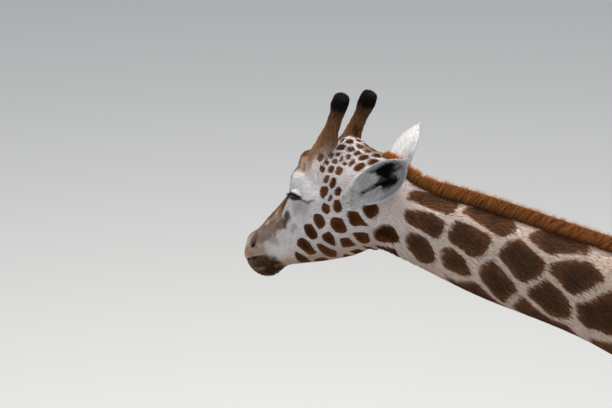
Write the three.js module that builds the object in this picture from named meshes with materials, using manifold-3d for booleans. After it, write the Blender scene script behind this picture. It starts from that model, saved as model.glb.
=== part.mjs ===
// A life-size adult female giraffe, standing square, with the neck stretched forward and low to browse.
// Millimetres, +Z up. It faces -Y, and its left side is +X. The origin is on the floor, in the middle of its box.
import * as THREE from "three";
import { mergeVertices } from "three/addons/utils/BufferGeometryUtils.js";
import Module from "manifold-3d";

const wasm = await Module();
wasm.setup();

// ---------------------------------------------------------------- driving dimensions
const GAP = 0.4; // clearance between neighbouring solids
const FINEST = 0.05; // the shortest detail that a cut leaves
const HEAD = { pitch: -30, yaw: -16, roll: 11 }; // in degrees: nose down, turned right, left side up
const HEAD_AT = { forward: 2140, height: 2846 }; // the back of the skull
const NECK_BEND = { from: 1100, length: 930, side: -80 }; // the neck curves off to the right
const EYE_RADIUS = 23;
const EYE_AT = { forward: 252, side: 96, up: 44 }; // in the head's frame
const EAR_LENGTH = 221;
const EAR_WIDTH = 57; // half of its greatest width
const EAR_LEAF = [0.5, 0.85, 1, 0.97, 0.64, 0.05]; // its width from root to tip, as a share of that
const EAR_BOW = 28; // how far it curves back over its length
const MANE_HEIGHT = 54;
const MANE_THICKNESS = 17; // half of it, at the root
const HOOF_HEIGHT = 112;
const CLAW_WIDTH = 34; // half of one claw
const CLEFT = 4; // half the gap between a foot's two claws
const TAIL_RADIUS = 34;

// The trunk and neck, from rump to nape: each section's widest level, the pitch of its normal,
// its half width, its reach above and below that level, and how full its two halves are.
const SPINE = [
  { forward: -1004, height: 1990, pitch: 0, wide: 26, up: 30, down: 40, roof: 1, keel: 1 },
  { forward: -975, height: 1985, pitch: 0, wide: 118, up: 112, down: 150, roof: 1, keel: 1 },
  { forward: -890, height: 1970, pitch: 0, wide: 205, up: 205, down: 215, roof: 1, keel: 1 },
  { forward: -720, height: 1975, pitch: 0, wide: 258, up: 272, down: 235, roof: 1.05, keel: 1 },
  { forward: -450, height: 2010, pitch: 2, wide: 275, up: 300, down: 255, roof: 1.05, keel: 0.95 },
  { forward: -150, height: 2010, pitch: 4, wide: 312, up: 366, down: 315, roof: 1.1, keel: 0.92 },
  { forward: 100, height: 2030, pitch: 6, wide: 302, up: 446, down: 372, roof: 1.2, keel: 0.95 },
  { forward: 300, height: 2085, pitch: 11, wide: 262, up: 495, down: 425, roof: 1.3, keel: 1 },
  { forward: 490, height: 2190, pitch: 19, wide: 216, up: 420, down: 425, roof: 1.25, keel: 1 },
  { forward: 747, height: 2352, pitch: 27, wide: 158, up: 286, down: 304, roof: 1.15, keel: 1 },
  { forward: 1017, height: 2480, pitch: 24, wide: 126, up: 206, down: 218, roof: 1.12, keel: 0.95 },
  { forward: 1388, height: 2608, pitch: 18, wide: 104, up: 142, down: 163, roof: 1.1, keel: 0.95 },
  { forward: 1768, height: 2692, pitch: 13, wide: 94, up: 122, down: 153, roof: 1.1, keel: 0.95 },
  { forward: 2020, height: 2742, pitch: 8, wide: 90, up: 110, down: 130, roof: 1.08, keel: 0.95 },
];
const NECK_START = 8; // the station where the neck leaves the trunk
const NECK_MIDDLE = 10.5;
// The head, in its own frame: forward of the skull's back, and up from its axis.
const SKULL = [
  { forward: 0, level: -40, turn: 26, wide: 92, up: 114, down: 174, roof: 0.95, keel: 1 },
  { forward: 62, level: -2, turn: 12, wide: 106, up: 118, down: 194, roof: 0.85, keel: 1.15 },
  { forward: 125, level: 22, turn: 0, wide: 113, up: 118, down: 204, roof: 0.8, keel: 1.3 },
  { forward: 190, level: 30, turn: 0, wide: 115, up: 112, down: 212, roof: 0.8, keel: 1.35 },
  { forward: 255, level: 34, turn: 0, wide: 114, up: 102, down: 208, roof: 0.82, keel: 1.35 },
  { forward: 325, level: 8, turn: 0, wide: 92, up: 80, down: 170, roof: 0.88, keel: 1.2 },
  { forward: 400, level: -22, turn: 0, wide: 72, up: 80, down: 124, roof: 0.9, keel: 1.05 },
  { forward: 470, level: -42, turn: 0, wide: 58, up: 77, down: 90, roof: 0.9, keel: 0.95 },
  { forward: 538, level: -54, turn: 0, wide: 54, up: 67, down: 73, roof: 0.9, keel: 0.85 },
  { forward: 577, level: -60, turn: 0, wide: 49, up: 51, down: 58, roof: 0.9, keel: 0.9 },
  { forward: 595, level: -62, turn: 0, wide: 34, up: 32, down: 38, roof: 1, keel: 1 },
  { forward: 602, level: -63, turn: 0, wide: 12, up: 11, down: 14, roof: 1, keel: 1 },
];
// Swellings and hollows of the head: where they are, how far they spread, and how high they stand.
const HEAD_FORMS = {
  brow: { at: [244, 86, 88], spread: 28, height: 10 },
  brow_dip: { at: [296, 60, 108], spread: 24, height: -14 },
  socket: { at: [272, 104, 30], spread: 22, height: -7 },
  cheekbone: { at: [215, 112, -4], spread: 36, height: 6 },
  jaw_muscle: { at: [135, 88, -84], spread: 52, height: 13 },
  face_hollow: { at: [372, 70, -18], spread: 42, height: -10 },
  forehead: { at: [264, 0, 152], spread: 40, height: 46 },
  nose_dip: { at: [507, 0, 24], spread: 22, height: -9 },
  nostril: { at: [550, 38, -4], spread: 20, height: 8 },
  mouth_corner: { at: [494, 52, -76], spread: 20, height: -6 },
  chin: { at: [542, 0, -124], spread: 34, height: 18 },
  crown: { at: [72, 0, 132], spread: 36, height: 44 },
  horn_foot: { at: [150, 50, 130], spread: 34, height: 14 },
};
// A fore and a hind leg, from the top down: height, forward, side, half width, reach to front and back.
const FORE_LEG = [
  { height: 2290, forward: 330, side: 150, wide: 40, front: 60, back: 60 },
  { height: 2120, forward: 392, side: 192, wide: 74, front: 128, back: 142 },
  { height: 1920, forward: 418, side: 202, wide: 88, front: 150, back: 172 },
  { height: 1720, forward: 384, side: 196, wide: 82, front: 124, back: 142 },
  { height: 1560, forward: 362, side: 186, wide: 67, front: 92, back: 100 },
  { height: 1360, forward: 366, side: 176, wide: 55, front: 72, back: 74 },
  { height: 1160, forward: 372, side: 168, wide: 46, front: 55, back: 56 },
  { height: 1020, forward: 378, side: 163, wide: 49, front: 58, back: 54 },
  { height: 930, forward: 382, side: 160, wide: 48, front: 58, back: 50 },
  { height: 850, forward: 380, side: 158, wide: 37, front: 42, back: 42 },
  { height: 640, forward: 376, side: 155, wide: 31, front: 34, back: 37 },
  { height: 400, forward: 372, side: 153, wide: 31, front: 34, back: 38 },
  { height: 270, forward: 372, side: 152, wide: 40, front: 44, back: 52 },
  { height: 185, forward: 388, side: 152, wide: 42, front: 48, back: 46 },
  { height: HOOF_HEIGHT + GAP, forward: 402, side: 152, wide: 60, front: 72, back: 62 },
];
const HIND_LEG = [
  { height: 2090, forward: -740, side: 140, wide: 50, front: 80, back: 80 },
  { height: 1960, forward: -752, side: 182, wide: 84, front: 168, back: 176 },
  { height: 1800, forward: -734, side: 192, wide: 92, front: 196, back: 190 },
  { height: 1650, forward: -712, side: 188, wide: 82, front: 166, back: 168 },
  { height: 1500, forward: -738, side: 180, wide: 64, front: 116, back: 112 },
  { height: 1350, forward: -784, side: 172, wide: 50, front: 80, back: 76 },
  { height: 1200, forward: -832, side: 166, wide: 42, front: 60, back: 60 },
  { height: 1085, forward: -868, side: 162, wide: 42, front: 57, back: 78 },
  { height: 985, forward: -878, side: 160, wide: 44, front: 60, back: 62 },
  { height: 890, forward: -870, side: 158, wide: 38, front: 47, back: 48 },
  { height: 790, forward: -860, side: 156, wide: 32, front: 37, back: 40 },
  { height: 600, forward: -850, side: 154, wide: 30, front: 34, back: 37 },
  { height: 400, forward: -842, side: 153, wide: 30, front: 34, back: 38 },
  { height: 270, forward: -840, side: 152, wide: 39, front: 44, back: 51 },
  { height: 185, forward: -824, side: 152, wide: 41, front: 48, back: 46 },
  { height: HOOF_HEIGHT + GAP, forward: -810, side: 152, wide: 59, front: 72, back: 62 },
];
// Along an ossicone, from inside the skull to its knob, in the head's frame.
const OSSICONE = [
  { at: [176, 44, 78], radius: 64 },
  { at: [158, 48, 112], radius: 58 },
  { at: [142, 51, 138], radius: 48 },
  { at: [118, 54, 166], radius: 34 },
  { at: [84, 58, 198], radius: 24 },
  { at: [48, 61, 229], radius: 23 },
  { at: [24, 64, 251], radius: 28 },
  { at: [2, 66, 271], radius: 25 },
  { at: [-6, 67, 278], radius: 11 },
];
const TAIL = [
  { forward: -950, height: 2120, radius: TAIL_RADIUS * 1.25 },
  { forward: -1010, height: 2085, radius: TAIL_RADIUS },
  { forward: -1050, height: 1990, radius: TAIL_RADIUS * 0.8 },
  { forward: -1062, height: 1850, radius: TAIL_RADIUS * 0.66 },
  { forward: -1062, height: 1600, radius: TAIL_RADIUS * 0.54 },
  { forward: -1056, height: 1330, radius: TAIL_RADIUS * 0.5 },
];
const TAIL_TUFT = [
  { forward: -1056, height: 1330 - GAP, radius: TAIL_RADIUS * 0.5 },
  { forward: -1054, height: 1250, radius: 36 },
  { forward: -1050, height: 1120, radius: 50 },
  { forward: -1046, height: 960, radius: 46 },
  { forward: -1044, height: 830, radius: 24 },
  { forward: -1044, height: 780, radius: 7 },
];

// ---------------------------------------------------------------- shapes
/** A smooth value through equally spaced stations, at station number t. */
function through(values, t) {
  const i = Math.min(Math.floor(t), values.length - 2);
  const s = t - i;
  const at = (k) => values[Math.max(0, Math.min(values.length - 1, k))];
  const [a, b, c, d] = [at(i - 1), at(i), at(i + 1), at(i + 2)];
  const cubic = (3 * b - a - 3 * c + d) * s * s * s;
  return 0.5 * (2 * b + (c - a) * s + (2 * a - 5 * b + 4 * c - d) * s * s + cubic);
}

/** Every size of a list of stations, at station number t. */
function station(list, t) {
  const mixed = (key) => through(list.map((s) => s[key]), t);
  return Object.fromEntries(Object.keys(list[0]).map((key) => [key, mixed(key)]));
}

/** Evenly spaced numbers from one value to another, both included. */
function steps(from, to, count) {
  return Array.from({ length: count + 1 }, (_, i) => from + ((to - from) * i) / count);
}

/** A closed skin over rings of points, each ring the same even count, with a strip across both ends. */
function loft(rings) {
  const round = rings[0].length;
  const last = (rings.length - 1) * round;
  const index = [];
  for (let j = 0; j < round; j++) {
    const k = (j + 1) % round;
    for (let i = 0; i < rings.length - 1; i++) {
      const [a, b, c, d] = [i * round + j, i * round + k, (i + 1) * round + j, (i + 1) * round + k];
      index.push(a, b, d, a, d, c);
    }
  }
  for (let j = 0; j < round / 2 - 1; j++) {
    const [a, b, c, d] = [j, j + 1, round - 2 - j, round - 1 - j];
    index.push(a, c, b, a, d, c);
    index.push(last + a, last + b, last + c, last + a, last + c, last + d);
  }
  const geometry = new THREE.BufferGeometry().setFromPoints(rings.flat()).setIndex(index);
  return solidVolume(geometry) < 0 ? turned(geometry) : geometry;
}

/** The signed volume inside a closed triangle mesh. */
function solidVolume(geometry) {
  const place = geometry.getAttribute("position");
  const [a, b, c] = [new THREE.Vector3(), new THREE.Vector3(), new THREE.Vector3()];
  let sum = 0;
  for (let i = 0; i < geometry.index.count; i += 3) {
    [a, b, c].forEach((p, k) => p.fromBufferAttribute(place, geometry.index.getX(i + k)));
    sum += a.dot(b.cross(c)) / 6;
  }
  return sum;
}

/** The same mesh with its faces looking the other way. */
function turned(geometry) {
  const index = Array.from(geometry.index.array);
  for (let i = 0; i < index.length; i += 3) [index[i + 1], index[i + 2]] = [index[i + 2], index[i + 1]];
  return geometry.clone().setIndex(index);
}

/** The mirror image of a mesh on the giraffe's other side. */
const mirrored = (geometry) => turned(geometry.clone().scale(-1, 1, 1));

/** A mesh as a manifold solid. */
function solid(geometry) {
  const bare = geometry.clone();
  bare.deleteAttribute("normal");
  bare.deleteAttribute("uv");
  const merged = mergeVertices(bare, 1e-3);
  const mesh = { numProp: 3, vertProperties: merged.attributes.position.array };
  return new wasm.Manifold(new wasm.Mesh({ ...mesh, triVerts: new Uint32Array(merged.index.array) }));
}

/** The largest piece of a manifold solid, as a mesh. */
function largest(made) {
  const mesh = made.decompose().sort((a, b) => b.volume() - a.volume())[0].getMesh();
  const place = new THREE.BufferAttribute(new Float32Array(mesh.vertProperties), 3);
  return new THREE.BufferGeometry()
    .setAttribute("position", place)
    .setIndex(new THREE.BufferAttribute(mesh.triVerts, 1));
}

/** A mesh with others taken away from it. */
function cut(geometry, ...others) {
  const taken = others.map(solid).reduce((all, other) => all.add(other));
  return largest(solid(geometry).subtract(taken).simplify(FINEST));
}

// ---------------------------------------------------------------- frames
const radians = THREE.MathUtils.degToRad;

/** A direction given as forward, left and up of something turned by a pitch, a yaw and a roll. */
function way([forward, side, up], { pitch, yaw, roll }) {
  const turns = new THREE.Euler(radians(-pitch), radians(-roll), radians(yaw), "ZXY");
  return new THREE.Vector3(side, -forward, up).applyEuler(turns);
}

/** How far the neck's middle has bent sideways at a distance forward, and how far it is turned. */
function bend(forward) {
  const part = Math.max(0, (forward - NECK_BEND.from) / NECK_BEND.length);
  const slope = (2 * NECK_BEND.side * part) / NECK_BEND.length;
  const yaw = THREE.MathUtils.radToDeg(Math.atan(slope));
  return { side: NECK_BEND.side * part * part, yaw, roll: (HEAD.roll * Math.min(part, 1)) / 2 };
}

const skullBack = new THREE.Vector3(bend(HEAD_AT.forward).side, -HEAD_AT.forward, HEAD_AT.height);

/** A point given as forward, left and up in the head's frame, in the giraffe's frame. */
const onHead = (place) => way(place, HEAD).add(skullBack);

/** A direction given as forward, left and up in the head's frame, at length 1. */
const headWay = (direction) => way(direction, HEAD).normalize();

/** A station of the spine in the giraffe's frame. */
const spineStation = (s) => ({ ...s, ...bend(s.forward) });

/** A station of the head in the same terms as one of the spine. */
function skullStation({ level, turn, ...s }) {
  const middle = onHead([s.forward, 0, level]);
  const place = { side: middle.x, forward: -middle.y, height: middle.z };
  return { ...s, ...HEAD, ...place, pitch: HEAD.pitch + turn };
}

const BODY = [...SPINE.map(spineStation), ...SKULL.map(skullStation)];
const HEAD_START = SPINE.length - 0.35; // the nape, in station numbers
const MUZZLE = BODY.length - 1;

/** How far the head's swellings push a point outwards. */
function swelling(point) {
  const sum = Object.values(HEAD_FORMS).flatMap(({ at: [f, side, up], spread, height }) =>
    [side, -side].slice(0, side ? 2 : 1).map((s) => {
      const far = point.distanceTo(onHead([f, s, up])) / spread;
      return height * Math.exp(-0.5 * far * far);
    }),
  );
  return sum.reduce((a, b) => a + b, 0);
}

/** One ring of the body's outline at station number t, grown outwards by a margin. */
function bodyRing(t, round, grow) {
  const s = station(BODY, t);
  const middle = new THREE.Vector3(s.side, -s.forward, s.height);
  return steps(0, 2 * Math.PI, round).slice(0, -1).map((angle) => {
    const [across, level] = [Math.sin(angle), Math.cos(angle)];
    const full = level > 0 ? s.roof : s.keel;
    const side = (s.wide + grow) * Math.sign(across) * Math.abs(across) ** full;
    const height = level * ((level > 0 ? s.up : s.down) + grow);
    const point = way([0, side, height], s).add(middle);
    const outward = point.clone().sub(middle).normalize();
    return point.addScaledVector(outward, t > SPINE.length - 1 ? swelling(point) : 0);
  });
}

/** The body between two station numbers. */
function bodyLength(from, to, count, round, grow = 0) {
  return loft(steps(from, to, count).map((t) => bodyRing(t, round, grow)));
}

/** A ring round a vertical limb, wider or longer as its station says. */
function limbRing(s, round, grow) {
  return steps(0, 2 * Math.PI, round).slice(0, -1).map((angle) => {
    const ahead = Math.cos(angle);
    const reach = (ahead > 0 ? s.front : s.back) + grow;
    return new THREE.Vector3(s.side + (s.wide + grow) * Math.sin(angle), -(s.forward + reach * ahead), s.height);
  });
}

/** A left leg from its stations. */
function leg(list, grow = 0) {
  const count = Math.round((list.length - 1) * 1.3);
  const rings = steps(0, list.length - 1, count).map((t) => limbRing(station(list, t), 12, grow));
  return loft(rings);
}

/** One claw of a left foot, from the coronet down to its flat sole. inner is -1 or +1. */
function claw(list, inner) {
  const top = list.at(-1);
  const side = top.side + inner * (CLAW_WIDTH + CLEFT);
  const shape = [
    { part: 1, wide: 0.8, front: 64, back: 50 },
    { part: 0.72, wide: 0.92, front: 84, back: 62 },
    { part: 0.35, wide: 1, front: 112, back: 72 },
    { part: 0.08, wide: 0.98, front: 128, back: 76 },
    { part: 0, wide: 0.9, front: 120, back: 70 },
  ];
  const rings = shape.map(({ part, wide, front, back }) => {
    const sizes = { side, forward: top.forward, wide: wide * CLAW_WIDTH, front, back };
    return limbRing({ ...sizes, height: part * HOOF_HEIGHT }, 12, 0);
  });
  return loft(rings);
}

/** A tube through round stations, each with a middle point, square to the line between them. */
function tube(list, count, round) {
  const curve = new THREE.CatmullRomCurve3(list.map((s) => s.middle));
  const rings = steps(0, 1, count).map((u) => {
    const middle = curve.getPoint(u);
    const onward = curve.getTangent(u);
    const across = new THREE.Vector3(1, 0, 0).addScaledVector(onward, -onward.x).normalize();
    const over = new THREE.Vector3().crossVectors(onward, across);
    const radius = through(list.map((s) => s.radius), u * (list.length - 1));
    return steps(0, 2 * Math.PI, round).slice(0, -1).map((angle) =>
      middle.clone()
        .addScaledVector(across, radius * Math.cos(angle))
        .addScaledVector(over, radius * Math.sin(angle)),
    );
  });
  return loft(rings);
}

/** An ear: a leaf rolled to a cup, from its root along one direction, open towards another, sagging across. */
function ear({ root, along, open, sag }) {
  const base = onHead(root);
  const tipward = headWay(along);
  const facing = headWay(open);
  facing.addScaledVector(tipward, -facing.dot(tipward)).normalize();
  const across = new THREE.Vector3().crossVectors(tipward, facing);
  const rows = 11;
  const columns = 6;
  const rings = steps(0, 1, rows).map((u) => {
    const half = EAR_WIDTH * through(EAR_LEAF, u * (EAR_LEAF.length - 1));
    const roll = THREE.MathUtils.lerp(2.1, 0.75, u); // how far round the cup closes
    const radius = half / Math.sin(Math.min(roll, Math.PI / 2));
    const wall = 3.2 + 3 * (1 - u);
    const bow = Math.sin(Math.PI * u); // how much of its curve it has here
    const arc = (angle, r) =>
      base.clone()
        .addScaledVector(tipward, u * EAR_LENGTH)
        .addScaledVector(across, r * Math.sin(angle) + sag * bow)
        .addScaledVector(facing, radius - r * Math.cos(angle) - EAR_BOW * bow);
    const angles = steps(-roll, roll, columns);
    return [...angles.map((a) => arc(a, radius)), ...angles.reverse().map((a) => arc(a, Math.max(2, radius - wall)))];
  });
  return loft(rings);
}

/** The mane: a brush along the crest of the neck, rooted a little inside it. */
function mane() {
  const from = NECK_START - 0.55;
  const to = HEAD_START + 0.5;
  const rings = steps(from, to, 26).map((t) => {
    const s = station(BODY, t);
    const middle = new THREE.Vector3(s.side, -s.forward, s.height);
    const along = (t - from) / (to - from);
    const tall = MANE_HEIGHT * Math.min(1, 0.18 + 5 * along, 0.3 + 3 * (1 - along));
    const profile = [[-1, -14], [-1, 0.3 * tall], [-0.45, tall], [0.45, tall], [1, 0.3 * tall], [1, -14]];
    return profile.map(([side, high]) => way([0, side * MANE_THICKNESS, s.up + high], s).add(middle));
  });
  return loft(rings);
}

/** A sphere where an eye sits. side is +1 for the left. */
function eyeball(side, grow = 0) {
  const at = onHead([EYE_AT.forward, side * EYE_AT.side, EYE_AT.up]);
  return new THREE.SphereGeometry(EYE_RADIUS + grow, 12, 8).translate(at.x, at.y, at.z);
}

const onSpine = ({ forward, height, radius }) => ({ middle: new THREE.Vector3(0, -forward, height), radius });
const onSkull = (name) => ({ at: [forward, side, up], radius }) =>
  ({ middle: onHead([forward, name === "left" ? side : -side, up]), radius });

// ---------------------------------------------------------------- the giraffe
const COAT = { roughness: 0.8, metalness: 0 };
const looks = {
  coat: new THREE.MeshStandardMaterial({ ...COAT, color: 0xb98a66 }),
  face: new THREE.MeshStandardMaterial({ ...COAT, color: 0xc8b6a6 }),
  horn: new THREE.MeshStandardMaterial({ ...COAT, color: 0x6a432b }),
  mane: new THREE.MeshStandardMaterial({ ...COAT, color: 0x8a4c22 }),
  tuft: new THREE.MeshStandardMaterial({ ...COAT, color: 0x15110f }),
  hoof: new THREE.MeshStandardMaterial({ color: 0x3b3029, roughness: 0.55, metalness: 0 }),
  eye: new THREE.MeshStandardMaterial({ color: 0x120c09, roughness: 0.08, metalness: 0 }),
};

const giraffe = new THREE.Group();

/** Adds one named piece to the giraffe. */
function add(name, geometry, look) {
  const mesh = new THREE.Mesh(geometry, looks[look]);
  mesh.name = name;
  giraffe.add(mesh);
}

const sides = [["left", (g) => g], ["right", mirrored]];
const legs = { fore: FORE_LEG, hind: HIND_LEG };
const grownLegs = Object.values(legs).flatMap((list) => sides.map(([, placed]) => placed(leg(list, GAP))));
const seam = 0.0015; // half the cut between two lengths of the body, in station numbers

// The body's lengths: where each starts and ends, its rings, and the points round a ring.
const lengths = {
  trunk: [0, NECK_START - seam, 18, 22],
  neck_lower: [NECK_START + seam, NECK_MIDDLE - seam, 8, 22],
  neck_upper: [NECK_MIDDLE + seam, HEAD_START - 3 * seam, 6, 22],
  head: [HEAD_START, MUZZLE, 30, 26],
};
const grown = Object.values(lengths).map(([from, to, ...counts]) =>
  bodyLength(Math.max(0, from - 2 * seam), Math.min(MUZZLE, to + 2 * seam), ...counts, GAP),
);
const eyes = [eyeball(1, GAP), eyeball(-1, GAP)];
for (const [name, counts] of Object.entries(lengths)) {
  add(name, cut(bodyLength(...counts), ...(name === "head" ? eyes : grownLegs)), name === "head" ? "face" : "coat");
}
add("mane", cut(mane(), ...grown), "mane");

const ears = {
  left: { root: [21, 87, -20], along: [-222, 8, 32], open: [0.04, 0.97, -0.25], sag: 9 },
  right: { root: [49, -89, 35], along: [-52, -185, 140], open: [-0.3, -0.65, -0.6], sag: -4 },
};
for (const [name, place] of Object.entries(ears)) add(`ear_${name}`, cut(ear(place), ...grown), "face");

for (const [name, placed] of sides) {
  add(`ossicone_${name}`, cut(tube(OSSICONE.map(onSkull(name)), 11, 10), ...grown), "horn");
  add(`eye_${name}`, eyeball(name === "left" ? 1 : -1), "eye");
  for (const [which, list] of Object.entries(legs)) {
    add(`${which}_leg_${name}`, placed(leg(list)), "coat");
    add(`hoof_${which}_${name}_inner`, placed(claw(list, -1)), "hoof");
    add(`hoof_${which}_${name}_outer`, placed(claw(list, 1)), "hoof");
  }
}
add("tail", cut(tube(TAIL.map(onSpine), 10, 8), ...grown), "coat");
add("tail_tuft", tube(TAIL_TUFT.map(onSpine), 8, 8), "tuft");

// The origin is on the floor, under the middle of the whole animal's box.
const box = new THREE.Box3().setFromObject(giraffe);
giraffe.position.set(-(box.min.x + box.max.x) / 2, -(box.min.y + box.max.y) / 2, -box.min.z);

export default giraffe;
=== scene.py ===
"""A life-size adult female giraffe, dressed in skin, coat, mane, eyes, horns and hooves.

Every shape is worked out in millimetres in the giraffe's own frame: it faces -y, its left side is +x and
up is +z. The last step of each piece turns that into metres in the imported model's frame.
"""

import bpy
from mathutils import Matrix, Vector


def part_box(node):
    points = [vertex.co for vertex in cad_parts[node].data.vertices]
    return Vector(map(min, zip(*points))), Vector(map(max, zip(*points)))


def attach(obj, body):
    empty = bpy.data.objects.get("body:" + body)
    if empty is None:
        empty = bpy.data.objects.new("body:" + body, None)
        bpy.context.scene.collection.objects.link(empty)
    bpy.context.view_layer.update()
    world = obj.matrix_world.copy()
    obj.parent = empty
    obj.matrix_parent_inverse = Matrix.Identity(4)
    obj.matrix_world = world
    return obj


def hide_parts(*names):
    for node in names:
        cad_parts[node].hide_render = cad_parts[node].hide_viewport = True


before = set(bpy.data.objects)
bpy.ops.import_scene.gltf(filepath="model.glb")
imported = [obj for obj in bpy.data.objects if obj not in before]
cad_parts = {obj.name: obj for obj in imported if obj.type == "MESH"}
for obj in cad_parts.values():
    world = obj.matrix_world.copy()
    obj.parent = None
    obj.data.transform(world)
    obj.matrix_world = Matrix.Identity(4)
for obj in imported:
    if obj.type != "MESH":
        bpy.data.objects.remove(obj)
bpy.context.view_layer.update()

import logging  # noqa: E402
from dataclasses import dataclass, field, fields  # noqa: E402
from enum import IntEnum  # noqa: E402
from typing import Iterable, Optional  # noqa: E402

import bpy  # noqa: E402
import numpy as np  # noqa: E402
from mathutils import Matrix  # noqa: E402
from mathutils.bvhtree import BVHTree  # noqa: E402
from mathutils.kdtree import KDTree  # noqa: E402

LOG = logging.getLogger("giraffe")
Array = np.ndarray
Object = bpy.types.Object
Material = bpy.types.Material
Socket = bpy.types.NodeSocket
Random = np.random.Generator
Triple = tuple[float, float, float]
Colour = tuple[float, float, float, float]
SIDES = (("left", 1), ("right", -1))
MM = 0.001
SEED = 20260
SKIN_DEPTH = 4.0  # how far the skin lies inside the solids, in mm

# ------------------------------------------------------------------ the animal's measures, in mm and degrees
HEAD_TURN = np.radians((-30.0, -16.0, 11.0))  # pitch, yaw, roll
HEAD_BACK = (2140.0, 2846.0)  # forward, height
BEND_FROM, BEND_LENGTH, BEND_SIDE = 1100.0, 930.0, -80.0
EYE_RADIUS = 23.0
EYE_AT = (252.0, 96.0, 44.0)
NAPE, HEAD_FROM, TRUNK_TO = 13.65, 12.4, 9.0  # station numbers along the body

# forward, height, pitch, half width, reach up, reach down, fullness of the upper and the lower half
SPINE = np.array([
    (-1004, 1990, 0, 26, 30, 40, 1, 1), (-975, 1985, 0, 118, 112, 150, 1, 1),
    (-890, 1970, 0, 205, 205, 215, 1, 1), (-720, 1975, 0, 258, 272, 235, 1.05, 1),
    (-450, 2010, 2, 275, 300, 255, 1.05, 0.95), (-150, 2010, 4, 312, 366, 315, 1.1, 0.92),
    (100, 2030, 6, 302, 446, 372, 1.2, 0.95), (300, 2085, 11, 262, 495, 425, 1.3, 1),
    (490, 2190, 19, 216, 420, 425, 1.25, 1), (747, 2352, 27, 158, 286, 304, 1.15, 1),
    (1017, 2480, 24, 126, 206, 218, 1.12, 0.95), (1388, 2608, 18, 104, 142, 163, 1.1, 0.95),
    (1768, 2692, 13, 94, 122, 153, 1.1, 0.95), (2020, 2742, 8, 90, 110, 130, 1.08, 0.95),
])
# the same for the head in its own frame: forward, level, turn, half width, reach up, down, fullness
SKULL = np.array([
    (0, -40, 26, 92, 114, 174, 0.95, 1), (62, -2, 12, 106, 118, 194, 0.85, 1.15),
    (125, 22, 0, 113, 118, 204, 0.8, 1.3), (190, 30, 0, 115, 112, 212, 0.8, 1.35),
    (255, 34, 0, 114, 102, 208, 0.82, 1.35), (325, 8, 0, 92, 80, 170, 0.88, 1.2),
    (400, -22, 0, 72, 80, 124, 0.9, 1.05), (470, -42, 0, 58, 77, 90, 0.9, 0.95),
    (538, -54, 0, 54, 67, 73, 0.9, 0.85), (577, -60, 0, 49, 51, 58, 0.9, 0.9),
    (595, -62, 0, 34, 32, 38, 1, 1), (602, -63, 0, 12, 11, 14, 1, 1),
])
# height, forward, side, half width, reach to front and back
FORE_LEG = np.array([
    (2290, 330, 150, 40, 60, 60), (2120, 392, 192, 74, 128, 142), (1920, 418, 202, 88, 150, 172),
    (1720, 384, 196, 82, 124, 142), (1560, 362, 186, 67, 92, 100), (1360, 366, 176, 55, 72, 74),
    (1160, 372, 168, 46, 55, 56), (1020, 378, 163, 49, 58, 54), (930, 382, 160, 48, 58, 50),
    (850, 380, 158, 37, 42, 42), (640, 376, 155, 31, 34, 37), (400, 372, 153, 31, 34, 38),
    (270, 372, 152, 40, 44, 52), (185, 388, 152, 42, 48, 46), (112.4, 402, 152, 60, 72, 62),
])
HIND_LEG = np.array([
    (2090, -740, 140, 50, 80, 80), (1960, -752, 182, 84, 168, 176), (1800, -734, 192, 92, 196, 190),
    (1650, -712, 188, 82, 166, 168), (1500, -738, 180, 64, 116, 112), (1350, -784, 172, 50, 80, 76),
    (1200, -832, 166, 42, 60, 60), (1085, -868, 162, 42, 57, 78), (985, -878, 160, 44, 60, 62),
    (890, -870, 158, 38, 47, 48), (790, -860, 156, 32, 37, 40), (600, -850, 154, 30, 34, 37),
    (400, -842, 153, 30, 34, 38), (270, -840, 152, 39, 44, 51), (185, -824, 152, 41, 48, 46),
    (112.4, -810, 152, 59, 72, 62),
])
# forward, left, up in the head's frame, radius
OSSICONE = np.array([
    (176, 44, 78, 64), (158, 48, 112, 58), (142, 51, 138, 48), (118, 54, 166, 34), (84, 58, 198, 24),
    (48, 61, 229, 23), (24, 64, 251, 28), (2, 66, 271, 25), (-6, 67, 278, 11),
])
# forward, height, radius
TAIL = np.array([
    (-950, 2120, 42.5), (-1010, 2085, 34), (-1050, 1990, 27.2), (-1062, 1850, 22.4),
    (-1062, 1600, 18.4), (-1056, 1330, 17),
])
TAIL_TUFT = np.array([
    (-1056, 1329.6, 17), (-1054, 1250, 36), (-1050, 1120, 50), (-1046, 960, 46), (-1044, 830, 24),
    (-1044, 780, 7),
])


# ------------------------------------------------------------------ plain mathematics
def through(table: Array, t: Array) -> Array:
    """Smooth values through equally spaced stations: a Catmull-Rom cubic over the four nearest rows.

    Args:
        table: one station a row.
        t: station numbers.

    Returns:
        One row of values for each station number.
    """
    last = len(table) - 1
    i = np.clip(np.floor(t).astype(int), 0, last - 1)
    s = (np.asarray(t, float) - i)[:, None]
    a, b, c, d = (table[np.clip(i + k, 0, last)] for k in (-1, 0, 1, 2))
    cubic = (3 * b - a - 3 * c + d) * s**3
    return 0.5 * (2 * b + (c - a) * s + (2 * a - 5 * b + 4 * c - d) * s * s + cubic)


def smooth(low: float, high: float, x: Array) -> Array:
    """A step that eases from 0 at low to 1 at high: 3k^2 - 2k^3 of how far x is between them."""
    k = np.clip((x - low) / (high - low), 0, 1)
    return k * k * (3 - 2 * k)


def bell(far: Array) -> Array:
    """1 at nothing, falling off on both sides as exp(-far^2 / 2)."""
    return np.exp(-0.5 * far**2)


def graded(x: Array, stops: list[float], *channels: tuple[float, ...]) -> Array:
    """Colours that run evenly from stop to stop, given channel by channel.

    Args:
        x: where to read them.
        stops: the places of the stops.
        channels: red, green and blue at each stop.

    Returns:
        One colour a row.
    """
    return np.stack([np.interp(x, stops, channel) for channel in channels], 1)


def blend(first: Array, second: Array, share: Array) -> Array:
    """From the first, where the share is 0, to the second, where it is 1."""
    return first * (1 - share) + second * share


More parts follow.
